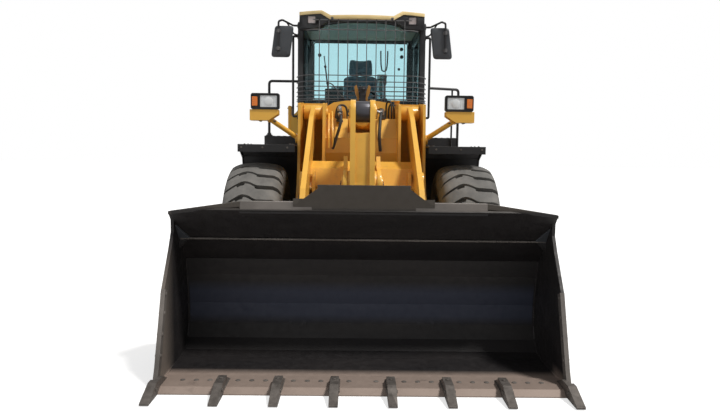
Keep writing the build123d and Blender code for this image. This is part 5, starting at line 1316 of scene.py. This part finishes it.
# ---------------------------------------------------------------- bucket: seam, corner plates and rim
# the seam's bead is scraped steel, lighter partly from wear and partly as a painted highlight along the seam
shape = bmesh.new()
bead(shape, (-BUCKET_SIDE, LIP_Y + 0.762, 1.010), (BUCKET_SIDE, LIP_Y + 0.762, 1.010), 0.009)
piece("bucket_seam", shape, EDGE_STEEL, "bucket")
shape = bmesh.new()
for s in (-1, 1):
    prism(shape, [(s * BUCKET_SIDE, LIP_Y + 0.640, 1.132), (s * BUCKET_SIDE, LIP_Y + 0.780, 0.985),
                  (s * 1.400, LIP_Y + 0.756, 1.012)], (0, 0.010, 0.010))
piece("bucket_corner_plates", shape, SHELL, "bucket", edges=0.001)
# raised strip along the rim, scraped bright, sloping down to the corners, and a cap on the spill guard
shape = bmesh.new()
for s in (-1, 1):
    brick(shape, (s * 0.40, LIP_Y + 0.5285, 1.268), (s * 0.955, LIP_Y + 0.592, 1.334))
piece("bucket_rim_strip", shape, EDGE_STEEL, "bucket", edges=0.004)
shape = bmesh.new()
for s in (-1, 1):
    prism(shape, [(s * 0.954, LIP_Y + 0.531, 1.290), (s * 1.508, LIP_Y + 0.531, 1.224),
                  (s * 1.508, LIP_Y + 0.531, 1.250), (s * 0.954, LIP_Y + 0.531, 1.333)], (0, 0.058, 0))
prism(shape, [(-0.355, LIP_Y + 0.4835, 1.430), (-0.355, LIP_Y + 0.4700, 1.470),
              (-0.355, LIP_Y + 0.4815, 1.470), (-0.355, LIP_Y + 0.4950, 1.430)], (0.710, 0, 0))
piece("bucket_rim_ends", shape, BUCKET, "bucket", edges=0.003)

# ---------------------------------------------------------------- steps, platforms and tanks
STEP_TOPS = (0.500, 0.850, 1.200, 1.545)
shape = bmesh.new()
for s in (-1, 1):
    for z in STEP_TOPS:
        for row in range(2):
            for column in range(9):
                x, y = s * (1.195 + row * 0.035), 0.755 + column * 0.047
                lathe(shape, [(0, 0.011), (0.006, 0.008)], (x, y, z + 0.034), Z, 8)
    for row in range(12):
        y = 0.36 + row * 0.078
        for column in range(6):
            x = s * (0.845 + column * 0.078)
            bead(shape, (x - 0.018, y - 0.018, 1.901), (x + 0.018, y + 0.018, 1.901), 0.003)
piece("tread_pattern", shape, BLACK, "rear_body")
shape = bmesh.new()
for s in (-1, 1):
    lathe(shape, [(0, 0.062), (0.03, 0.062), (0.036, 0.055), (0.05, 0.055), (0.052, 0.0)],
          (s * 1.02, 0.66, 1.50), -Y, 24)
    for z in (0.90, 1.20, 1.50):
        bolt(shape, (s * 1.178, 1.245, z), X * s, 0.012)
piece("tank_caps", shape, IRON, "rear_body", edges=0.001)

# ---------------------------------------------------------------- side housing's cover, out past the cab
COVER_X = -0.955
shape = bmesh.new()
brick(shape, (COVER_X, 0.352, 1.912), (-0.912, 0.628, 2.298))
piece("side_housing_cover", shape, YELLOW, "rear_body", edges=0.012)
shape = bmesh.new()
for z in (1.945, 2.265):
    for y in (0.385, 0.595):
        bolt(shape, (COVER_X, y, z), -X, 0.010)
lathe(shape, [(0, 0.026), (0.008, 0.026), (0.012, 0.020)], (COVER_X, 0.49, 2.20), -X, 18)
piece("side_housing_bolts", shape, IRON, "rear_body")

# ---------------------------------------------------------------- engine hood
HOOD_SIDE = 0.6205
shape = bmesh.new()
for s in (-1, 1):
    for y in (1.66, 3.80):
        for z in (1.52, 2.28):
            bolt(shape, (s * 0.621, y, z), X * s, 0.013)
    for y0, y1 in ((1.62, 2.28), (3.42, 3.90)):
        bead(shape, (s * HOOD_SIDE, y0, 1.70), (s * HOOD_SIDE, y1, 1.70), 0.006)
piece("hood_bolts", shape, YELLOW, "rear_body")
shape = bmesh.new()
MESH_PITCH, WIRE_R = 0.041, 0.0035
for column in range(22):
    x = -0.430 + column * MESH_PITCH
    bead(shape, (x, 3.957, 1.610), (x, 3.957, 2.205), WIRE_R)
for row in range(15):
    z = 1.615 + row * MESH_PITCH
    bead(shape, (-0.440, 3.959, z), (0.440, 3.959, z), WIRE_R)
piece("grille_mesh", shape, IRON, "rear_grille")

# ---------------------------------------------------------------- counterweight and rear lamps
WEIGHT_BACK, REAR_LAMP_X, REAR_LAMP_Z = 4.0855, 1.02, 1.12
shape = bmesh.new()
for s in (1, -1):
    for z in (0.86, 1.34):
        bolt(shape, (s * 0.88, WEIGHT_BACK, z), Y, 0.026)
    bolt(shape, (s * 0.30, WEIGHT_BACK, 0.80), Y, 0.022)
piece("counterweight_bolts", shape, IRON, "rear_body")
for s, side in SIDES:
    shape = bmesh.new()
    panel(shape, (s * REAR_LAMP_X, 4.086, REAR_LAMP_Z), X, Z, 0.105, 0.062, 0.014, Y * 0.030)
    piece(f"rear_lamp_{side}_case", shape, PLASTIC, "rear_body", edges=0.003)
    for at, material, part in ((-0.052, RED_LENS, "stop"), (0.052, AMBER_LENS, "turn")):
        shape = bmesh.new()
        panel(shape, (s * (REAR_LAMP_X + at), 4.112, REAR_LAMP_Z), X, Z, 0.045, 0.048, 0.008, Y * 0.010)
        piece(f"rear_lamp_{side}_{part}", shape, material, "rear_body", edges=0.002)

# ---------------------------------------------------------------- exhaust flap and clamps, intake bands
STACK_X, STACK_Y = 0.330, 2.150  # the intake stands as far out on the other side
shape = bmesh.new()
lathe(shape, [(0, 0.066), (0.006, 0.066)], (STACK_X, STACK_Y, 2.902), Z, 28)
brick(shape, (STACK_X - 0.012, 2.215, 2.885), (STACK_X + 0.012, 2.240, 2.912))
for z in (2.50, 2.82):
    lathe(shape, [(0, 0.066), (0.022, 0.066)], (STACK_X, STACK_Y, z), Z, 28)
piece("exhaust_fittings", shape, IRON, "rear_body", edges=0.001)
shape = bmesh.new()
for z in (2.550, 2.600, 2.650):
    lathe(shape, [(0, 0.1275), (0.010, 0.1275)], (-STACK_X, STACK_Y, z), Z, 32)
piece("intake_bands", shape, PLASTIC, "rear_body", edges=0.001)
